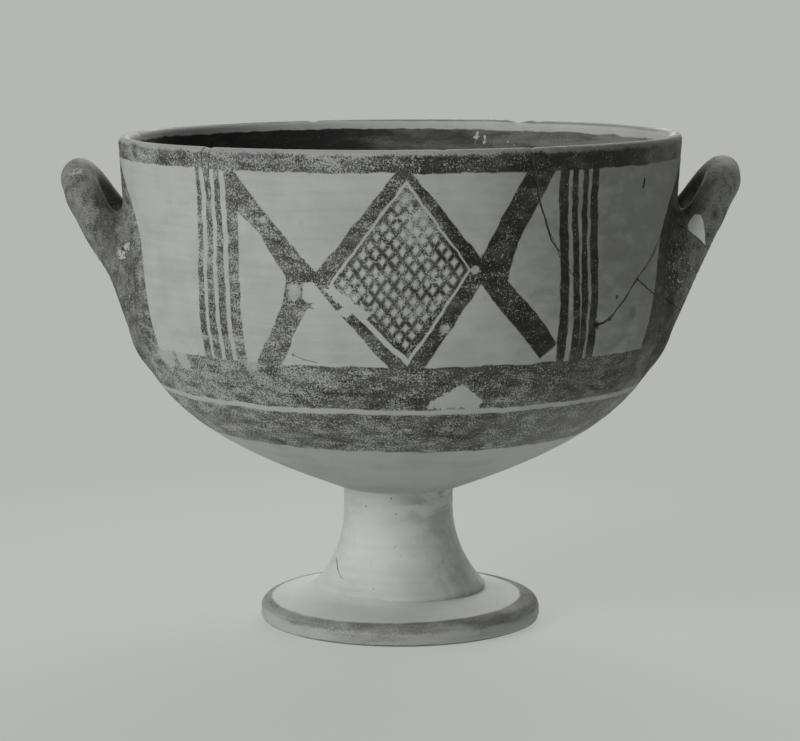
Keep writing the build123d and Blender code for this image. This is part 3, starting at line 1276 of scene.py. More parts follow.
@dataclass
class Bowl:
    """The thrown bowl with its mended wall."""

    lip_round: float = 2.0
    row_pitch: float = 1.5
    segments: int = 400
    rim_tilt: float = 0.0062
    hand: Hand = Hand()
    break_gap: float = 0.3
    break_sway: float = 0.45
    break_pitch: float = 3.1
    break_step: float = 1.6
    cut_reach: Pair = (20.0, 160.0)
    sherd_view: float = 65.0
    sliver_view: float = -40.0
    shoulder_height: float = 115.0
    gauge_height: float = 160.0
    curve_degree: int = 14
    shared_break: tuple[Pair, ...] = (
        (54.3, 0.650),
        (60.4, 0.567),
        (64.2, 0.482),
        (68.1, 0.403),
        (73.7, 0.350),
        (79.9, 0.287),
        (86.0, 0.218),
    )
    rim_sherd_corners: tuple[Pair, ...] = (
        (91.0, 0.115),
        (93.0, -0.05),
        (24.2, -0.05),
        (25.2, 0.064),
        (27.5, 0.250),
        (28.9, 0.345),
        (32.2, 0.508),
        (38.0, 0.667),
        (42.5, 0.845),
        (45.9, 0.818),
        (49.3, 0.754),
    )
    handle_sherd_corners: tuple[Pair, ...] = (
        (90.5, 0.359),
        (89.5, 0.590),
        (87.0, 0.846),
        (77.6, 0.840),
        (67.6, 0.787),
        (64.4, 0.764),
    )
    rim_sliver_corners: tuple[Pair, ...] = (
        (-41.2, -0.05),
        (-41.0, 0.056),
        (-40.2, 0.233),
        (-38.9, 0.056),
        (-38.8, -0.05),
    )
    nicks: tuple[Nick, ...] = (
        Nick(42.4, 127.2, 2.6, 1.3),
        Nick(41.0, 123.4, 1.8, 0.7),
        Nick(45.6, 129.6, 1.2, 0.6),
        Nick(46.6, 139.0, 0.9, 0.5),
        Nick(-40.0, 175.0, 1.0, 0.5),
    )
    lip_nicks: tuple[Nick, ...] = (
        Nick(-40.0, 193.0, 2.2, 0.6),
        Nick(152.0, 193.0, 5.0, 1.1),
        Nick(147.0, 193.0, 2.5, 0.7),
        Nick(26.0, 193.0, 2.0, 0.5),
        Nick(-100.0, 193.0, 3.0, 0.6),
        Nick(-160.0, 193.0, 2.2, 0.5),
        Nick(93.0, 193.0, 2.5, 0.6),
        Nick(8.0, 193.0, 1.6, 0.35),
    )
    wall_radius: float = field(init=False)
    lip_height: float = field(init=False)
    outside: np.ndarray = field(init=False)
    inside: np.ndarray = field(init=False)

    def __post_init__(self) -> None:
        """Reads the wall's two curves from the CAD bowl."""
        low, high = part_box("bowl")
        self.lip_height = high.z / MM
        self.outside, self.inside = self.read_curves(low.z / MM)
        self.wall_radius = self.radius_at(np.array([self.gauge_height]))[0]

    def read_curves(self, seat: float) -> tuple[np.ndarray, np.ndarray]:
        """Measures the unbroken back of the CAD bowl and smooths its facets.

        Args:
            seat: height of the bowl's seat.

        Returns:
            The outer and inner curve from the bottom up, as (radius, height) rows.
        """
        form = bmesh.new()
        form.from_mesh(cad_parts["bowl"].data)
        tree = BVHTree.FromBMesh(form)
        form.free()
        middle = Vector((0.0, 0.0, 0.72 * self.lip_height * MM))
        far = 0.4
        sides: tuple[list[Pair], list[Pair]] = ([], [])
        for angle in np.radians(np.linspace(-89.9, 45.0, 700)):
            way = Vector((0.0, math.cos(angle), math.sin(angle)))
            for hits, start, heading in ((sides[0], middle + way * far, -way), (sides[1], middle, way)):
                hit = tree.ray_cast(start, heading, far)[0]
                if hit is not None and seat + 0.05 < hit.z / MM < self.lip_height - self.lip_round * 1.2:
                    hits.append((hit.y / MM, hit.z / MM))
        return self.fair(np.array(sides[0])), self.fair(np.array(sides[1]))

    def fair(self, points: np.ndarray) -> np.ndarray:
        """Draws a smooth curve through measured points.

        Args:
            points: (radius, height) rows.

        Returns:
            Evenly spaced rows of the curve.
        """
        run = np.concatenate([[0.0], np.cumsum(np.linalg.norm(np.diff(points, axis=0), axis=1))])
        fits = [np.polynomial.Chebyshev.fit(run, points[:, i], self.curve_degree) for i in (0, 1)]
        steps = np.linspace(0.0, run[-1], int(run[-1] / self.row_pitch) + 1)
        return np.stack([fit(steps) for fit in fits], 1)

    def radius_at(self, height: np.ndarray) -> np.ndarray:
        """Radius of the true outer wall at some heights."""
        return np.interp(height, self.outside[:, 1], self.outside[:, 0])

    def profile(self) -> np.ndarray:
        """Draws the section of the wall.

        Returns:
            (radius, height) rows from the axis under the seat, over the lip, to the axis inside.
        """
        outer, inner = self.outside[-1], self.inside[-1]
        middle, half = (outer + inner) / 2, (outer[0] - inner[0]) / 2
        turns = np.radians(np.linspace(12.0, 168.0, 7))
        rise = self.lip_height - middle[1]
        crown = np.stack([middle[0] + half * np.cos(turns), middle[1] + rise * np.sin(turns) ** 0.75], 1)
        seat = [[0.0, self.outside[0, 1]], [self.outside[0, 0] * 0.6, self.outside[0, 1]]]
        floor = [[0.0, self.inside[0, 1]]]
        return np.vstack([seat, self.outside, crown, self.inside[:0:-1], floor])

    def shape(self, points: np.ndarray) -> np.ndarray:
        """Moves turned points to where throwing, wear and knocks left them.

        Args:
            points: the true form's points.

        Returns:
            The moved points.
        """
        azimuth = np.arctan2(points[:, 0], -points[:, 1])
        radius, height = np.hypot(points[:, 0], points[:, 1]), points[:, 2]
        share = np.clip((height - self.outside[0, 1]) / (self.lip_height - self.outside[0, 1]), 0.0, 1.0)
        moved = radius + self.hand.out(azimuth, height) * np.clip(radius / 40.0, 0.0, 1.0) ** 2
        outer = radius > self.radius_at(height) - 1.0
        for nick in self.nicks:
            away = np.abs(np.radians(nick.azimuth) - azimuth) * self.wall_radius
            deep = np.clip(1 - np.hypot(away, height - nick.height) / nick.size, 0.0, 1.0)
            moved = moved - outer * nick.depth * deep ** 0.7
        lift = self.rim_tilt * points[:, 0] * share
        for nick in self.lip_nicks:
            turn = np.angle(np.exp(1j * (azimuth - np.radians(nick.azimuth))))
            away = np.hypot(turn * self.wall_radius, (height - nick.height) * 0.6)
            lift = lift - nick.depth * np.clip(1 - away / nick.size, 0.0, 1.0) ** 0.8
        return place_on_turn(moved, azimuth, height + lift)

    def outline(self, corners: Sequence[Pair], view: float, clearance: float) -> np.ndarray:
        """Broken edge of a sherd, seen square on.

        Args:
            corners: (azimuth, share of the way down from the lip to the shoulder).
            view: azimuth that it is seen from.
            clearance: how far the edge is moved out.

        Returns:
            Points as (across, height).
        """
        drop = self.lip_height - self.shoulder_height
        plain = [
            (self.wall_radius * math.sin(math.radians(azimuth - view)), self.lip_height - share * drop)
            for azimuth, share in corners
        ]
        points: list[np.ndarray] = []
        for start, end in zip(np.array(plain), np.roll(plain, -1, axis=0)):
            steps = max(1, round(float(np.linalg.norm(end - start)) / self.break_step))
            points.extend(start + (end - start) * i / steps for i in range(steps))
        line = np.array(points)
        for i, point in enumerate(points):
            spot = Vector((point[0] / self.break_pitch, point[1] / self.break_pitch, view))
            line[i] += [self.break_sway * noise.noise(spot), self.break_sway * noise.noise(spot.yzx)]
        ahead = np.roll(line, -1, axis=0) - np.roll(line, 1, axis=0)
        normal = np.stack([ahead[:, 1], -ahead[:, 0]], 1) / np.linalg.norm(ahead, axis=1)[:, None]
        area = np.sum(line[:, 0] * np.roll(line[:, 1], -1) - np.roll(line[:, 0], -1) * line[:, 1])
        return line + normal * clearance * np.sign(area)

    def prism(self, outline: np.ndarray, view: float) -> bpy.types.Object:
        """Makes a cutting form through one side of the wall.

        Args:
            outline: its points as (across, height).
            view: azimuth that the outline is seen from.

        Returns:
            The closed form.
        """
        turn = math.radians(view)
        across = np.array([math.cos(turn), math.sin(turn), 0.0])
        ahead = np.array([math.sin(turn), -math.cos(turn), 0.0])
        flat = outline[:, :1] * across + np.array([0.0, 0.0, 1.0]) * outline[:, 1:]
        near, far = self.cut_reach
        return span(flat + ahead * near, flat + ahead * far)

    def build(self) -> dict[str, bpy.types.Object]:
        """Throws the bowl and breaks it.

        Returns:
            The bowl and its sherds by CAD node.
        """
        whole = lathe("whole_bowl", self.profile(), self.segments, self.shape)
        wall = WallPainting(self.wall_radius).material("painted_wall")
        inside = InsidePainting(self.wall_radius).material("painted_inside")
        core = Clay(tone=96.0, blotch_tone=78.0).material("broken_clay")
        for material in (wall, inside):
            whole.data.materials.append(material)
        self.part_faces(whole)
        half = self.break_gap / 2
        rim = self.shared_break + self.rim_sherd_corners
        handle = self.shared_break + self.handle_sherd_corners
        sherds = {
            "rim_sherd": (rim, self.sherd_view),
            "handle_sherd": (handle, self.sherd_view),
            "rim_sliver": (self.rim_sliver_corners, self.sliver_view),
        }
        pieces: dict[str, bpy.types.Object] = {}
        body = whole
        for name, (corners, view) in sherds.items():
            tools = [self.prism(self.outline(corners, view, gap), view) for gap in (-half, half)]
            for tool in tools:
                tool.data.materials.append(core)
            pieces[name] = cut(whole, tools[0], Cut.INSIDE, name + "_clay")
            broken = cut(body, tools[1], Cut.OUTSIDE, "bowl_clay")
            discard(*tools)
            if body is not whole:
                discard(body)
            body = broken
        discard(whole)
        body.name = "bowl_clay"
        pieces["bowl"] = body
        for name, obj in pieces.items():
            settle(obj, Slot.CLAY, name)
        return pieces

    def part_faces(self, obj: bpy.types.Object) -> None:
        """Gives the inner faces of the wall their own finish.

        Args:
            obj: the whole bowl.
        """
        for face in obj.data.polygons:
            inward = face.normal.x * face.center.x + face.normal.y * face.center.y < 0
            face.material_index = 1 if inward or face.normal.z > 0.9 and face.center.z < 0.1 else 0


@dataclass
class Handle:
    """A roll of clay bent to a leaning loop, its legs smeared into the wall."""

    side: Side
    bowl: Bowl
    roll: float = 7.0
    belly: float = 9.4
    root_radius: float = 9.4
    spread: float = 46.0
    lean: float = 30.3
    standoff: float = 17.3
    drop: float = 16.8
    root_inset: float = 12.4
    root_rise: float = 10.3
    tail_depth: float = 12.0
    toe_drop: float = 1.5
    toe_radius: float = 6.0
    toe_depth: float = 2.0
    smear: float = 9.0
    skirt: float = 15.0
    tuck: float = 0.15
    sunk: float = 2.0
    lump: float = 0.16
    lump_waves: tuple[tuple[float, float, float], ...] = ((0.21, 0.17, 0.13), (-0.11, 0.31, 0.23))
    grid: float = 1.0
    bend_knots: int = 13
    knot_steps: int = 6
    draw_rounds: int = 4
    draw_share: float = 0.7
    least_slope: float = 0.3
    most_relaxed: float = 0.8
    upper_break: Pair = (0.11, 39.0)
    lower_break: Pair = (0.825, 31.0)
    upper_gap: float = 0.12
    lower_gap: float = 0.3
    break_skew: float = 0.16
    cut_foot: float = 60.0
    rubbed_left: tuple[Rub, ...] = (
        Rub((-125.0, -16.0, 179.0), 5.5, 0.24),
        Rub((-106.3, -31.5, 148.8), 3.6, 0.34),
        Rub((-104.4, -32.0, 151.6), 3.4, 0.34),
        Rub((-112.0, -31.0, 164.0), 8.0, 0.12),
        Rub((-98.0, -32.0, 132.0), 12.0, 0.14),
    )
    rubbed_right: tuple[Rub, ...] = (
        Rub((125.0, -16.0, 166.0), 14.0, 0.12),
        Rub((99.0, -33.0, 126.5), 3.0, 0.2),
        Rub((105.0, -31.0, 143.0), 18.0, 0.12),
    )
    fill_depth: float = 2.2
    fill_corners: tuple[Pair, ...] = (
        (-0.18, 0.95),
        (0.04, 1.25),
        (0.37, 1.16),
        (0.48, 0.81),
        (0.59, 0.12),
        (0.63, -0.47),
        (0.37, -0.21),
        (0.04, 0.07),
        (-0.29, 0.34),
        (-0.35, 0.62),
    )

    def leg(self) -> tuple[np.ndarray, np.ndarray, np.ndarray]:
        """Sets out the middle line of a leg, as on the right side.

        Returns:
            Its ends at the bend and at the root, and its unit direction down from the bend.
        """
        lean = math.radians(self.lean)
        down = np.array([-math.sin(lean), 0.0, -math.cos(lean)])
        apex = np.array([self.bowl.wall_radius + self.standoff, 0.0, self.bowl.lip_height - self.drop])
        root = [self.bowl.wall_radius - self.root_inset, 0.0, self.bowl.shoulder_height + self.root_rise]
        return apex + down * self.spread / 2, np.array(root), down

    def path(self) -> tuple[np.ndarray, np.ndarray]:
        """Bends the roll.

        Returns:
            Points of its middle line from tail to tail, and its radius at each.
        """
        base, root, down = self.leg()
        half = self.spread / 2
        low = self.bowl.shoulder_height - self.toe_drop
        wall = math.sqrt(float(self.bowl.radius_at(np.array([low]))[0]) ** 2 - half ** 2)
        toe = np.array([wall - self.toe_depth - self.toe_radius, 0.0, low])
        tail = toe - np.array([self.tail_depth, 0.0, 0.0])
        leg = [tail, toe, root, (root + base) / 2]
        sizes = [self.toe_radius, self.toe_radius, self.root_radius, self.belly]
        turns = np.radians(np.linspace(-90.0, 90.0, self.bend_knots))
        y = np.array([0.0, half, 0.0])
        bend = [base + y * math.sin(t) - down * half * math.cos(t) for t in turns]
        knots = np.array([p - y for p in leg] + bend + [p + y for p in leg[::-1]])
        radii = np.array(sizes + [self.roll] * len(bend) + sizes[::-1])
        steps = np.linspace(0, len(knots) - 1, self.knot_steps * len(knots))
        line = np.stack([self.curve(knots[:, i], steps) for i in range(3)], 1)
        return line * [self.side.value, 1.0, 1.0], self.curve(radii, steps)

    @staticmethod
    def curve(knots: np.ndarray, steps: np.ndarray) -> np.ndarray:
        """Draws a smooth curve through knots that stand one step apart.

        Args:
            knots: values to pass through.
            steps: where to read the curve, 0 at the first knot.

        Returns:
            The values there.
        """
        padded = np.concatenate([[2 * knots[0] - knots[1]], knots, [2 * knots[-1] - knots[-2]]])
        index = np.clip(steps.astype(int), 0, len(knots) - 2)
        t = steps - index
        a, b, c, d = (padded[index + i] for i in range(4))
        return b + t / 2 * (c - a + t * (2 * a - 5 * b + 4 * c - d + t * (3 * (b - c) + d - a)))

    def depth(self, points: np.ndarray, line: np.ndarray, radii: np.ndarray) -> np.ndarray:
        """Distance from the smeared roll's surface, below 0 in the clay.

        Args:
            points: places to measure.
            line: middle line of the roll.
            radii: its radius along the line.

        Returns:
            Millimetres, one for each place.
        """
        batch = 20000
        roll = np.empty(len(points))
        for start in range(0, len(points), batch):
            part = points[start : start + batch]
            away = np.linalg.norm(part[:, None, :] - line[None, :, :], axis=2) - radii[None, :]
            roll[start : start + batch] = away.min(axis=1)
        lumps = sum(np.sin(points @ np.array(wave) + i) for i, wave in enumerate(self.lump_waves, 1))
        roll = roll + self.lump * lumps
        radius, height = np.hypot(points[:, 0], points[:, 1]), points[:, 2]
        azimuth = np.arctan2(points[:, 0], -points[:, 1])
        true = self.bowl.radius_at(height)
        slope = np.gradient(self.bowl.outside[:, 0]) / np.maximum(np.gradient(self.bowl.outside[:, 1]), 1e-6)
        facing = 1 / np.sqrt(1 + np.interp(height, self.bowl.outside[:, 1], slope) ** 2)
        wall = (radius - true - self.bowl.hand.out(azimuth, height)) * facing + self.tuck
        blend = np.clip(self.smear - np.abs(roll - wall), 0.0, None) / self.smear
        joined = np.minimum(roll, wall) - blend ** 2 * self.smear / 4
        return np.maximum(np.maximum(joined, -(wall + self.sunk)), roll - self.skirt)

    def build_form(self, name: str) -> bpy.types.Object:
        """Finds the smeared roll's surface on a grid and draws it in close.

        Args:
            name: name of the piece.

        Returns:
            The closed mesh as an object.
        """
        line, radii = self.path()
        reach = self.root_radius + self.skirt + 2.0
        low, high = line.min(axis=0) - reach, line.max(axis=0) + reach
        axes = [np.arange(a, b, self.grid) for a, b in zip(low, high)]
        shape = tuple(len(a) for a in axes)
        places = np.stack(np.meshgrid(*axes, indexing="ij"), -1).reshape(-1, 3)
        values = self.depth(places, line, radii).reshape(shape)
        points, faces = self.net(values, axes)
        probe = 0.05
        for _ in range(self.draw_rounds):
            here = self.depth(points, line, radii)
            ahead = [self.depth(points + step, line, radii) for step in np.eye(3) * probe]
            slope = np.stack([(there - here) / probe for there in ahead], 1)
            steep = (slope ** 2).sum(axis=1)
            points = points - slope * (here / np.maximum(steep, self.least_slope))[:, None] * self.draw_share
        flat = np.clip(1.0 - steep, 0.0, self.most_relaxed)[:, None]
        return make_object(name, self.relax(points, faces, flat), faces)

    @staticmethod
    def relax(
        points: np.ndarray, faces: list[tuple[int, ...]], share: np.ndarray, rounds: int = 8
    ) -> np.ndarray:
        """Draws points towards the middle of their neighbours, where the surface is poorly defined.

        Args:
            points: the points.
            faces: faces of four points.
            share: how far each point goes in a round, from 0 to 1.
            rounds: how often they are drawn.

        Returns:
            The moved points.
        """
        rings = np.array(faces)
        ends = np.concatenate([rings[:, [i, (i + 1) % 4]] for i in range(4)])
        count = np.bincount(ends[:, 0], minlength=len(points))[:, None]
        for _ in range(rounds):
            middle = np.zeros_like(points)
            np.add.at(middle, ends[:, 0], points[ends[:, 1]])
            points = points + (middle / np.maximum(count, 1) - points) * share
        return points

    @staticmethod
    def net(values: np.ndarray, axes: list[np.ndarray]) -> tuple[np.ndarray, list[tuple[int, ...]]]:
        """One point in each grid cell that the surface passes, joined across the grid's crossed edges.

        Args:
            values: depths on the grid.
            axes: places of the grid's planes.

        Returns:
            Points and faces.
        """
        corners = np.stack(
            [values[i : i + values.shape[0] - 1, j : j + values.shape[1] - 1, k : k + values.shape[2] - 1]
             for i in (0, 1) for j in (0, 1) for k in (0, 1)]
        )
        crossed = (corners.min(axis=0) < 0) & (corners.max(axis=0) >= 0)
        number = np.full(crossed.shape, -1)
        number[crossed] = np.arange(crossed.sum())
        cell = np.argwhere(crossed)
        points = np.stack([axes[i][cell[:, i]] + (axes[i][1] - axes[i][0]) / 2 for i in range(3)], 1)
        faces: list[tuple[int, ...]] = []
        for axis in range(3):
            one, two = [i for i in range(3) if i != axis]
            if axis == 1:
                one, two = two, one
            ahead = np.moveaxis(values, axis, 0)
            flips = np.moveaxis((ahead[:-1] < 0) != (ahead[1:] < 0), 0, axis)
            for place in np.argwhere(flips):
                if place[one] == 0 or place[two] == 0:
                    continue
                ring = []
                for a, b in ((0, 0), (1, 0), (1, 1), (0, 1)):
                    spot = place.copy()
                    spot[one] -= a
                    spot[two] -= b
                    ring.append(int(number[tuple(spot)]))
                inside = values[tuple(place)] < 0
                faces.append(tuple(ring) if inside else tuple(ring[::-1]))
        return points, faces

    def wedge(self, corners: Sequence[Pair], near: float, far: float) -> bpy.types.Object:
        """Closed cutting form with an outline in the upright plane of the handles.

        Args:
            corners: outline as (across, height).
            near: where it starts towards the front.
            far: where it ends.

        Returns:
            The form.
        """
        flat = np.array([(x, 0.0, z) for x, z in corners])
        middle = self.spread / 2
        ends = [[0.0, -y, (y - middle) * self.break_skew] for y in (near, far)]
        return span(*(flat + end for end in ends))

    def below(self, share: float, slope: float, shift: float) -> bpy.types.Object:
        """Makes a cutting form of the space under a break in the front leg.

        Args:
            share: where the break crosses the leg, as a share of its length.
            slope: how steeply it slopes down outwards, in degrees.
            shift: how far the form reaches past the break.

        Returns:
            The form.
        """
        base, root, _ = self.leg()
        middle = (base + (root - base) * share)[[0, 2]]
        turn = math.radians(slope)
        along = np.array([math.cos(turn), -math.sin(turn)]) * self.spread
        lift = np.array([math.sin(turn), math.cos(turn)]) * shift
        start, end = middle - along + lift, middle + along + lift
        low = self.cut_foot
        return self.wedge([tuple(start), tuple(end), (end[0], low), (start[0], low)], 0.0, self.spread)

    def build_left(self) -> dict[str, bpy.types.Object]:
        """Makes the whole left handle.

        Returns:
            Its one piece by CAD node.
        """
        obj = self.build_form("left_handle_clay")
        painting = HandlePainting(self.bowl.wall_radius, cover=0.6)
        obj.data.materials.append(painting.material("painted_handle_left", self.rubbed_left))
        settle(obj, Slot.CLAY, "left_handle")
        return {"left_handle": obj}

    def build_right(self) -> dict[str, bpy.types.Object]:
        """Makes the mended right handle.

        Returns:
            Its pieces by CAD node.
        """
        whole = self.build_form("whole_handle")
        painting = HandlePainting(self.bowl.wall_radius, cover=0.52)
        whole.data.materials.append(painting.material("painted_handle_right", self.rubbed_right))
        core = Clay(tone=80.0, blotch_tone=60.0).material("broken_handle_clay")
        base, root, _ = self.leg()
        middle = (base + (root - base) * self.upper_break[0])[[0, 2]]
        fill_outline = [tuple(middle + np.array(c) * self.roll) for c in self.fill_corners]
        face = self.spread / 2 + self.roll
        tools = {
            "above_upper": self.below(*self.upper_break, self.upper_gap / 2),
            "below_upper": self.below(*self.upper_break, -self.upper_gap / 2),
            "above_lower": self.below(*self.lower_break, self.lower_gap / 2),
            "below_lower": self.below(*self.lower_break, -self.lower_gap / 2),
            "fill": self.wedge(fill_outline, face - self.fill_depth, face + self.fill_depth),
        }
        for tool in tools.values():
            tool.data.materials.append(core)
        upper = cut(whole, tools["above_upper"], Cut.OUTSIDE, "upper")
        lower = cut(whole, tools["below_upper"], Cut.INSIDE, "lower")
        pieces = {
            "right_handle": cut(upper, tools["fill"], Cut.OUTSIDE, "right_handle_clay"),
            "handle_fill": cut(upper, tools["fill"], Cut.INSIDE, "handle_fill_plaster"),
            "right_handle_root": cut(lower, tools["above_lower"], Cut.OUTSIDE, "right_handle_root_clay"),
            "right_handle_tail": cut(lower, tools["below_lower"], Cut.INSIDE, "right_handle_tail_clay"),
        }
        discard(whole, upper, lower, *tools.values())
        fill = pieces["handle_fill"].data
        fill.materials.clear()
        fill.materials.append(Clay(tone=228.0, blotch_tone=206.0, roughness=0.9).material("plaster_fill"))
        for name, obj in pieces.items():
            settle(obj, Slot.PLASTER if name == "handle_fill" else Slot.CLAY, name)
        return pieces


@dataclass
class StemAndFoot:
    """The hollow trumpet stem and the ring foot under it."""

    segments: int = 200
    step: float = 1.4
    hand: Hand = Hand(sway=0.22, ridge=0.06, ridge_pitch=4.4)
    stem_shift: float = -0.6
    foot_shift: float = 0.2
    stem_radius: float = 21.7
    neck_height: float = 45.0
    flare: float = 1.5
    sunk: float = 0.4
    skirt_radius: float = 34.0
    skirt_edge: float = 1.5
    skirt_lip: Pair = (0.15, 0.9)
    skirt_sunk: float = 0.2
    lute_width: float = 5.5
    lute_end: Pair = (6.0, -10.0)
    skirt_wall: float = 6.0
    neck_wall: float = 9.0
    hollow_top: float = 46.0
    foot_radius: float = 55.5
    edge_height: float = 8.2
    edge_round: float = 4.6
    edge_sag: float = 0.75
    edge_end: float = -0.12
    heel_height: float = 1.4
    heel_inset: float = 2.7
    heel_round: Pair = (0.6, 0.9)
    heel_share: float = 0.6
    hole_depth: float = 4.5
    standing_width: float = 7.0
    still_height: float = 3.0
    still_radius: float = 12.0
    skirt_points: int = 28
    hollow_points: int = 24
    flare_points: int = 6
    edge_points: int = 10

    @staticmethod
    def arc_out(start: Pair, end: Pair, count: int) -> np.ndarray:
        """Draws an arc that leaves its start straight down and curves out to its end.

        Args:
            start: (radius, height) of its start.
            end: (radius, height) of its end.
            count: how many points it has.

        Returns:
            Its points.
        """
        dx, dz = end[0] - start[0], start[1] - end[1]
        radius = (dx * dx + dz * dz) / (2 * dx)
        reach = math.asin(min(1.0, dz / radius))
        turns = np.linspace(0.0, reach, count)
        return np.stack([start[0] + radius * (1 - np.cos(turns)), start[1] - radius * np.sin(turns)], 1)

    def dense(self, corners: Sequence[Sequence[float]]) -> np.ndarray:
        """Puts points between corners, about a step apart.

        Args:
            corners: (radius, height) of the corners in order.

        Returns:
            Corners and points in order.
        """
        points: list[np.ndarray] = []
        for start, end in zip(np.array(corners, float), np.array(corners[1:], float)):
            count = max(1, round(float(np.linalg.norm(end - start)) / self.step))
            points.extend(start + (end - start) * i / count for i in range(count))
        points.append(np.array(corners[-1], float))
        return np.array(points)

    def shape(self, points: np.ndarray) -> np.ndarray:
        """Moves turned points to where the hand left them, the stem a little off the foot's axis.

        Args:
            points: the true form's points.

        Returns:
            The moved points.
        """
        azimuth = np.arctan2(points[:, 0], -points[:, 1])
        radius, height = np.hypot(points[:, 0], points[:, 1]), points[:, 2]
        inner = np.clip(radius / self.still_radius, 0.0, 1.0)
        free = np.clip(height / self.still_height, 0.0, 1.0) * inner ** 2
        moved = place_on_turn(radius + self.hand.out(azimuth, height) * free, azimuth, height)
        moved[:, 0] += np.interp(height, [0.0, self.neck_height], [self.foot_shift, self.stem_shift])
        return moved

    def shape_foot(self, points: np.ndarray) -> np.ndarray:
        """Moves the foot's points, the corner under the skirt filled with clay except on the right.

        Args:
            points: the true form's points.

        Returns:
            The moved points.
        """
        out = np.hypot(points[:, 0], points[:, 1]) - self.skirt_radius
        out = np.where(out > -0.05, 1.0 - out / self.lute_width, 0.0)
        top = points[:, 2] > self.edge_height - 1.0
        left = np.interp(-points[:, 0], [-self.lute_end[0], -self.lute_end[1]], [0.0, 1.0])
        raised = points.copy()
        raised[:, 2] += self.skirt_edge * np.clip(out, 0.0, 1.0) ** 2 * top * left
        return self.shape(raised)

    def build_stem(self, top: float, seat: float) -> bpy.types.Object:
        """Makes the stem.

        Args:
            top: height of its top, against the bowl.
            seat: height of the foot's seat.

        Returns:
            The piece.
        """
        neck, hollow = self.stem_radius, self.stem_radius - self.neck_wall
        skirt_end = (self.skirt_radius, seat + self.skirt_edge)
        hollow_end = (self.skirt_radius - self.skirt_wall, seat)
        outer = self.arc_out((neck, self.neck_height), skirt_end, self.skirt_points)
        inner = self.arc_out((hollow, self.neck_height), hollow_end, self.hollow_points)
        lip = [
            (neck + self.flare * (1 - math.cos(t)), top - self.flare + self.flare * math.sin(t))
            for t in np.radians(np.linspace(90.0, 0.0, self.flare_points))
        ]
        corners = [(0.0, top + self.sunk), (lip[0][0], top + self.sunk), *lip, *outer]
        corners += [(self.skirt_radius + self.skirt_lip[0], seat + self.skirt_lip[1])]
        corners += [(self.skirt_radius, seat - self.skirt_sunk), *inner[::-1]]
        corners += [(hollow, self.hollow_top), (0.0, self.hollow_top)]
        stem = lathe("stem_clay", self.dense(corners)[::-1], self.segments, self.shape)
        stem.data.materials.append(StemFinish().material("bare_stem"))
        settle(stem, Slot.CLAY, "stem")
        return stem

    def build_foot(self, seat: float) -> bpy.types.Object:
        """Makes the ring foot with its rounded edge.

        Args:
            seat: height of its seat.

        Returns:
            The piece.
        """
        out, standing = self.foot_radius, self.foot_radius - self.heel_inset
        hole = self.skirt_radius - self.skirt_wall
        middle = (out - self.edge_round, self.edge_height - self.edge_round * self.edge_sag)
        tilt = math.atan2(seat - self.edge_height, out - self.skirt_radius)
        edge = [
            (middle[0] + self.edge_round * math.cos(t), middle[1] + self.edge_round * math.sin(t))
            for t in np.linspace(math.pi / 2 - tilt, self.edge_end, self.edge_points)
        ]
        corners = [(hole, seat), (self.skirt_radius, seat), *edge]
        corners += [(out, self.heel_height + self.heel_round[1])]
        corners += [(out - self.heel_round[0], self.heel_height * self.heel_share)]
        corners += [(standing, 0.0), (standing - self.standing_width, 0.0)]
        corners += [(hole, seat - self.hole_depth), (hole, seat)]
        foot = lathe("foot_clay", self.dense(corners)[:-1][::-1], self.segments, self.shape_foot, ring=True)
        foot.data.materials.append(FootPainting().material("painted_foot"))
        settle(foot, Slot.CLAY, "foot")
        return foot

    def build(self) -> dict[str, bpy.types.Object]:
        """Makes both pieces from the heights of their CAD nodes.

        Returns:
            The pieces by CAD node.
        """
        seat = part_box("foot")[1].z / MM
        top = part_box("stem")[1].z / MM
        return {"stem": self.build_stem(top, seat), "foot": self.build_foot(seat)}


@dataclass(frozen=True)
class Lamp:
    """A soft round lamp that shines on the cup: its direction in degrees, and metres and watts."""

    name: str
    azimuth: float
    rise: float
    distance: float
    size: float
    power: float
    aim: float = 0.1

    def build(self) -> None:
        """Hangs the lamp."""
        data = bpy.data.lights.new(self.name, "AREA")
        data.shape = "DISK"
        data.size = self.size
        data.energy = self.power
        turn, rise = math.radians(self.azimuth), math.radians(self.rise)
        away = Vector((math.sin(turn) * math.cos(rise), -math.cos(turn) * math.cos(rise), math.sin(rise)))
        lamp = bpy.data.objects.new(self.name, data)
        lamp.location = Vector((0.0, 0.0, self.aim)) + away * self.distance
        lamp.rotation_euler = away.to_track_quat("Z", "Y").to_euler()
        bpy.context.scene.collection.objects.link(lamp)


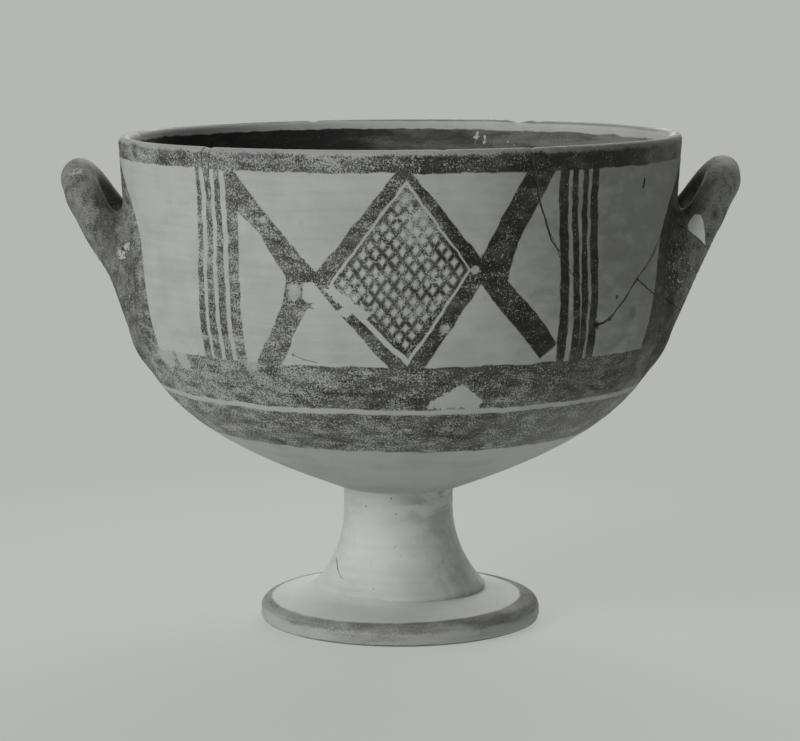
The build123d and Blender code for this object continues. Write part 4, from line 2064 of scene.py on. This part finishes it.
@dataclass
class Studio:
    """Pale glowing table, a window on the left, a lamp behind and the camera of the print."""

    camera_distance: float = 1111.9
    camera_height: float = 254.6
    camera_pitch: float = 7.955
    lens: float = 127.67
    sensor: float = 36.0
    ground_tone: float = 182.0
    shade_tone: float = 223.0
    ground_glow: float = 0.8
    glow_reach: Pair = (140.0, 420.0)
    ground_light: float = 1.36
    ground_size: float = 400.0
    lamps: tuple[Lamp, ...] = (
        Lamp("window", azimuth=-48.0, rise=25.0, distance=2.6, size=1.45, power=42.0),
        Lamp("back_lamp", azimuth=170.0, rise=31.0, distance=2.6, size=2.1, power=58.0),
    )
    sky: float = 0.14

    def build_camera(self) -> None:
        """Sets the camera where the print was taken from."""
        data = bpy.data.cameras.new("print_camera")
        data.sensor_width = self.sensor
        data.lens = self.lens
        data.clip_end = 1000.0
        camera = bpy.data.objects.new("print_camera", data)
        camera.location = (0.0, -self.camera_distance * MM, self.camera_height * MM)
        camera.rotation_euler = (math.radians(90.0 - self.camera_pitch), 0.0, 0.0)
        bpy.context.scene.collection.objects.link(camera)
        bpy.context.scene.camera = camera

    def build_ground(self) -> None:
        """Lays a plain table that runs out of sight and keeps the cup's shadow."""
        size = self.ground_size / MM / 2
        points = np.array([[-size, -size, 0.0], [size, -size, 0.0], [size, size, 0.0], [-size, size, 0.0]])
        ground = make_object("table", points, [(0, 1, 2, 3)])
        graph = Graph("pale_table")
        graph.dress(grey(self.shade_tone), 0.9)
        glows = [
            graph.node("ShaderNodeEmission", sockets={"Color": grey(self.ground_tone), "Strength": strength})
            for strength in (self.ground_light, 1.0)
        ]
        path = graph.node("ShaderNodeLightPath").outputs
        seen, mirrored, through = (
            Value(graph, path[ray]) for ray in ("Is Camera Ray", "Is Glossy Ray", "Is Transmission Ray")
        )
        sockets = {0: seen | mirrored | through, 1: glows[0].outputs[0], 2: glows[1].outputs[0]}
        glow = graph.node("ShaderNodeMixShader", sockets=sockets)
        away = graph.node("ShaderNodeVectorMath", {"operation": "LENGTH"}, {0: graph.place}).outputs["Value"]
        far = graph.rise(Value(graph, away), *self.glow_reach)
        share = self.ground_glow + far * (1.0 - self.ground_glow)
        sockets = {0: share, 1: graph.surface.outputs[0], 2: glow.outputs[0]}
        both = graph.node("ShaderNodeMixShader", sockets=sockets)
        graph.join(graph.output.inputs["Surface"], both.outputs[0])
        ground.data.materials.append(graph.material)

    def build_light(self) -> None:
        """Hangs the lamps and sets the soft light of the room."""
        for lamp in self.lamps:
            lamp.build()
        world = bpy.data.worlds.new("room")
        bpy.context.scene.world = world
        world.use_nodes = True
        back = world.node_tree.nodes["Background"]
        back.inputs["Color"].default_value = grey(255.0)
        back.inputs["Strength"].default_value = self.sky

    def build(self) -> None:
        """Makes camera, table and light."""
        bpy.context.scene.view_settings.view_transform = "Standard"
        self.build_camera()
        self.build_ground()
        self.build_light()


def main() -> None:
    """Builds the cup piece by piece and sets it in the studio."""
    logging.basicConfig(level=logging.INFO, format="%(message)s")
    Studio().build()
    bowl = Bowl()
    pieces = bowl.build()
    pieces |= StemAndFoot().build()
    pieces |= Handle(Side.LEFT, bowl, belly=6.9, root_radius=8.4).build_left()
    pieces |= Handle(Side.RIGHT, bowl, drop=15.5, standoff=17.9).build_right()
    for node, obj in pieces.items():
        LOG.info("%s stands for %s with %d faces", obj.name, node, len(obj.data.polygons))


if __name__ == "__main__":
    main()
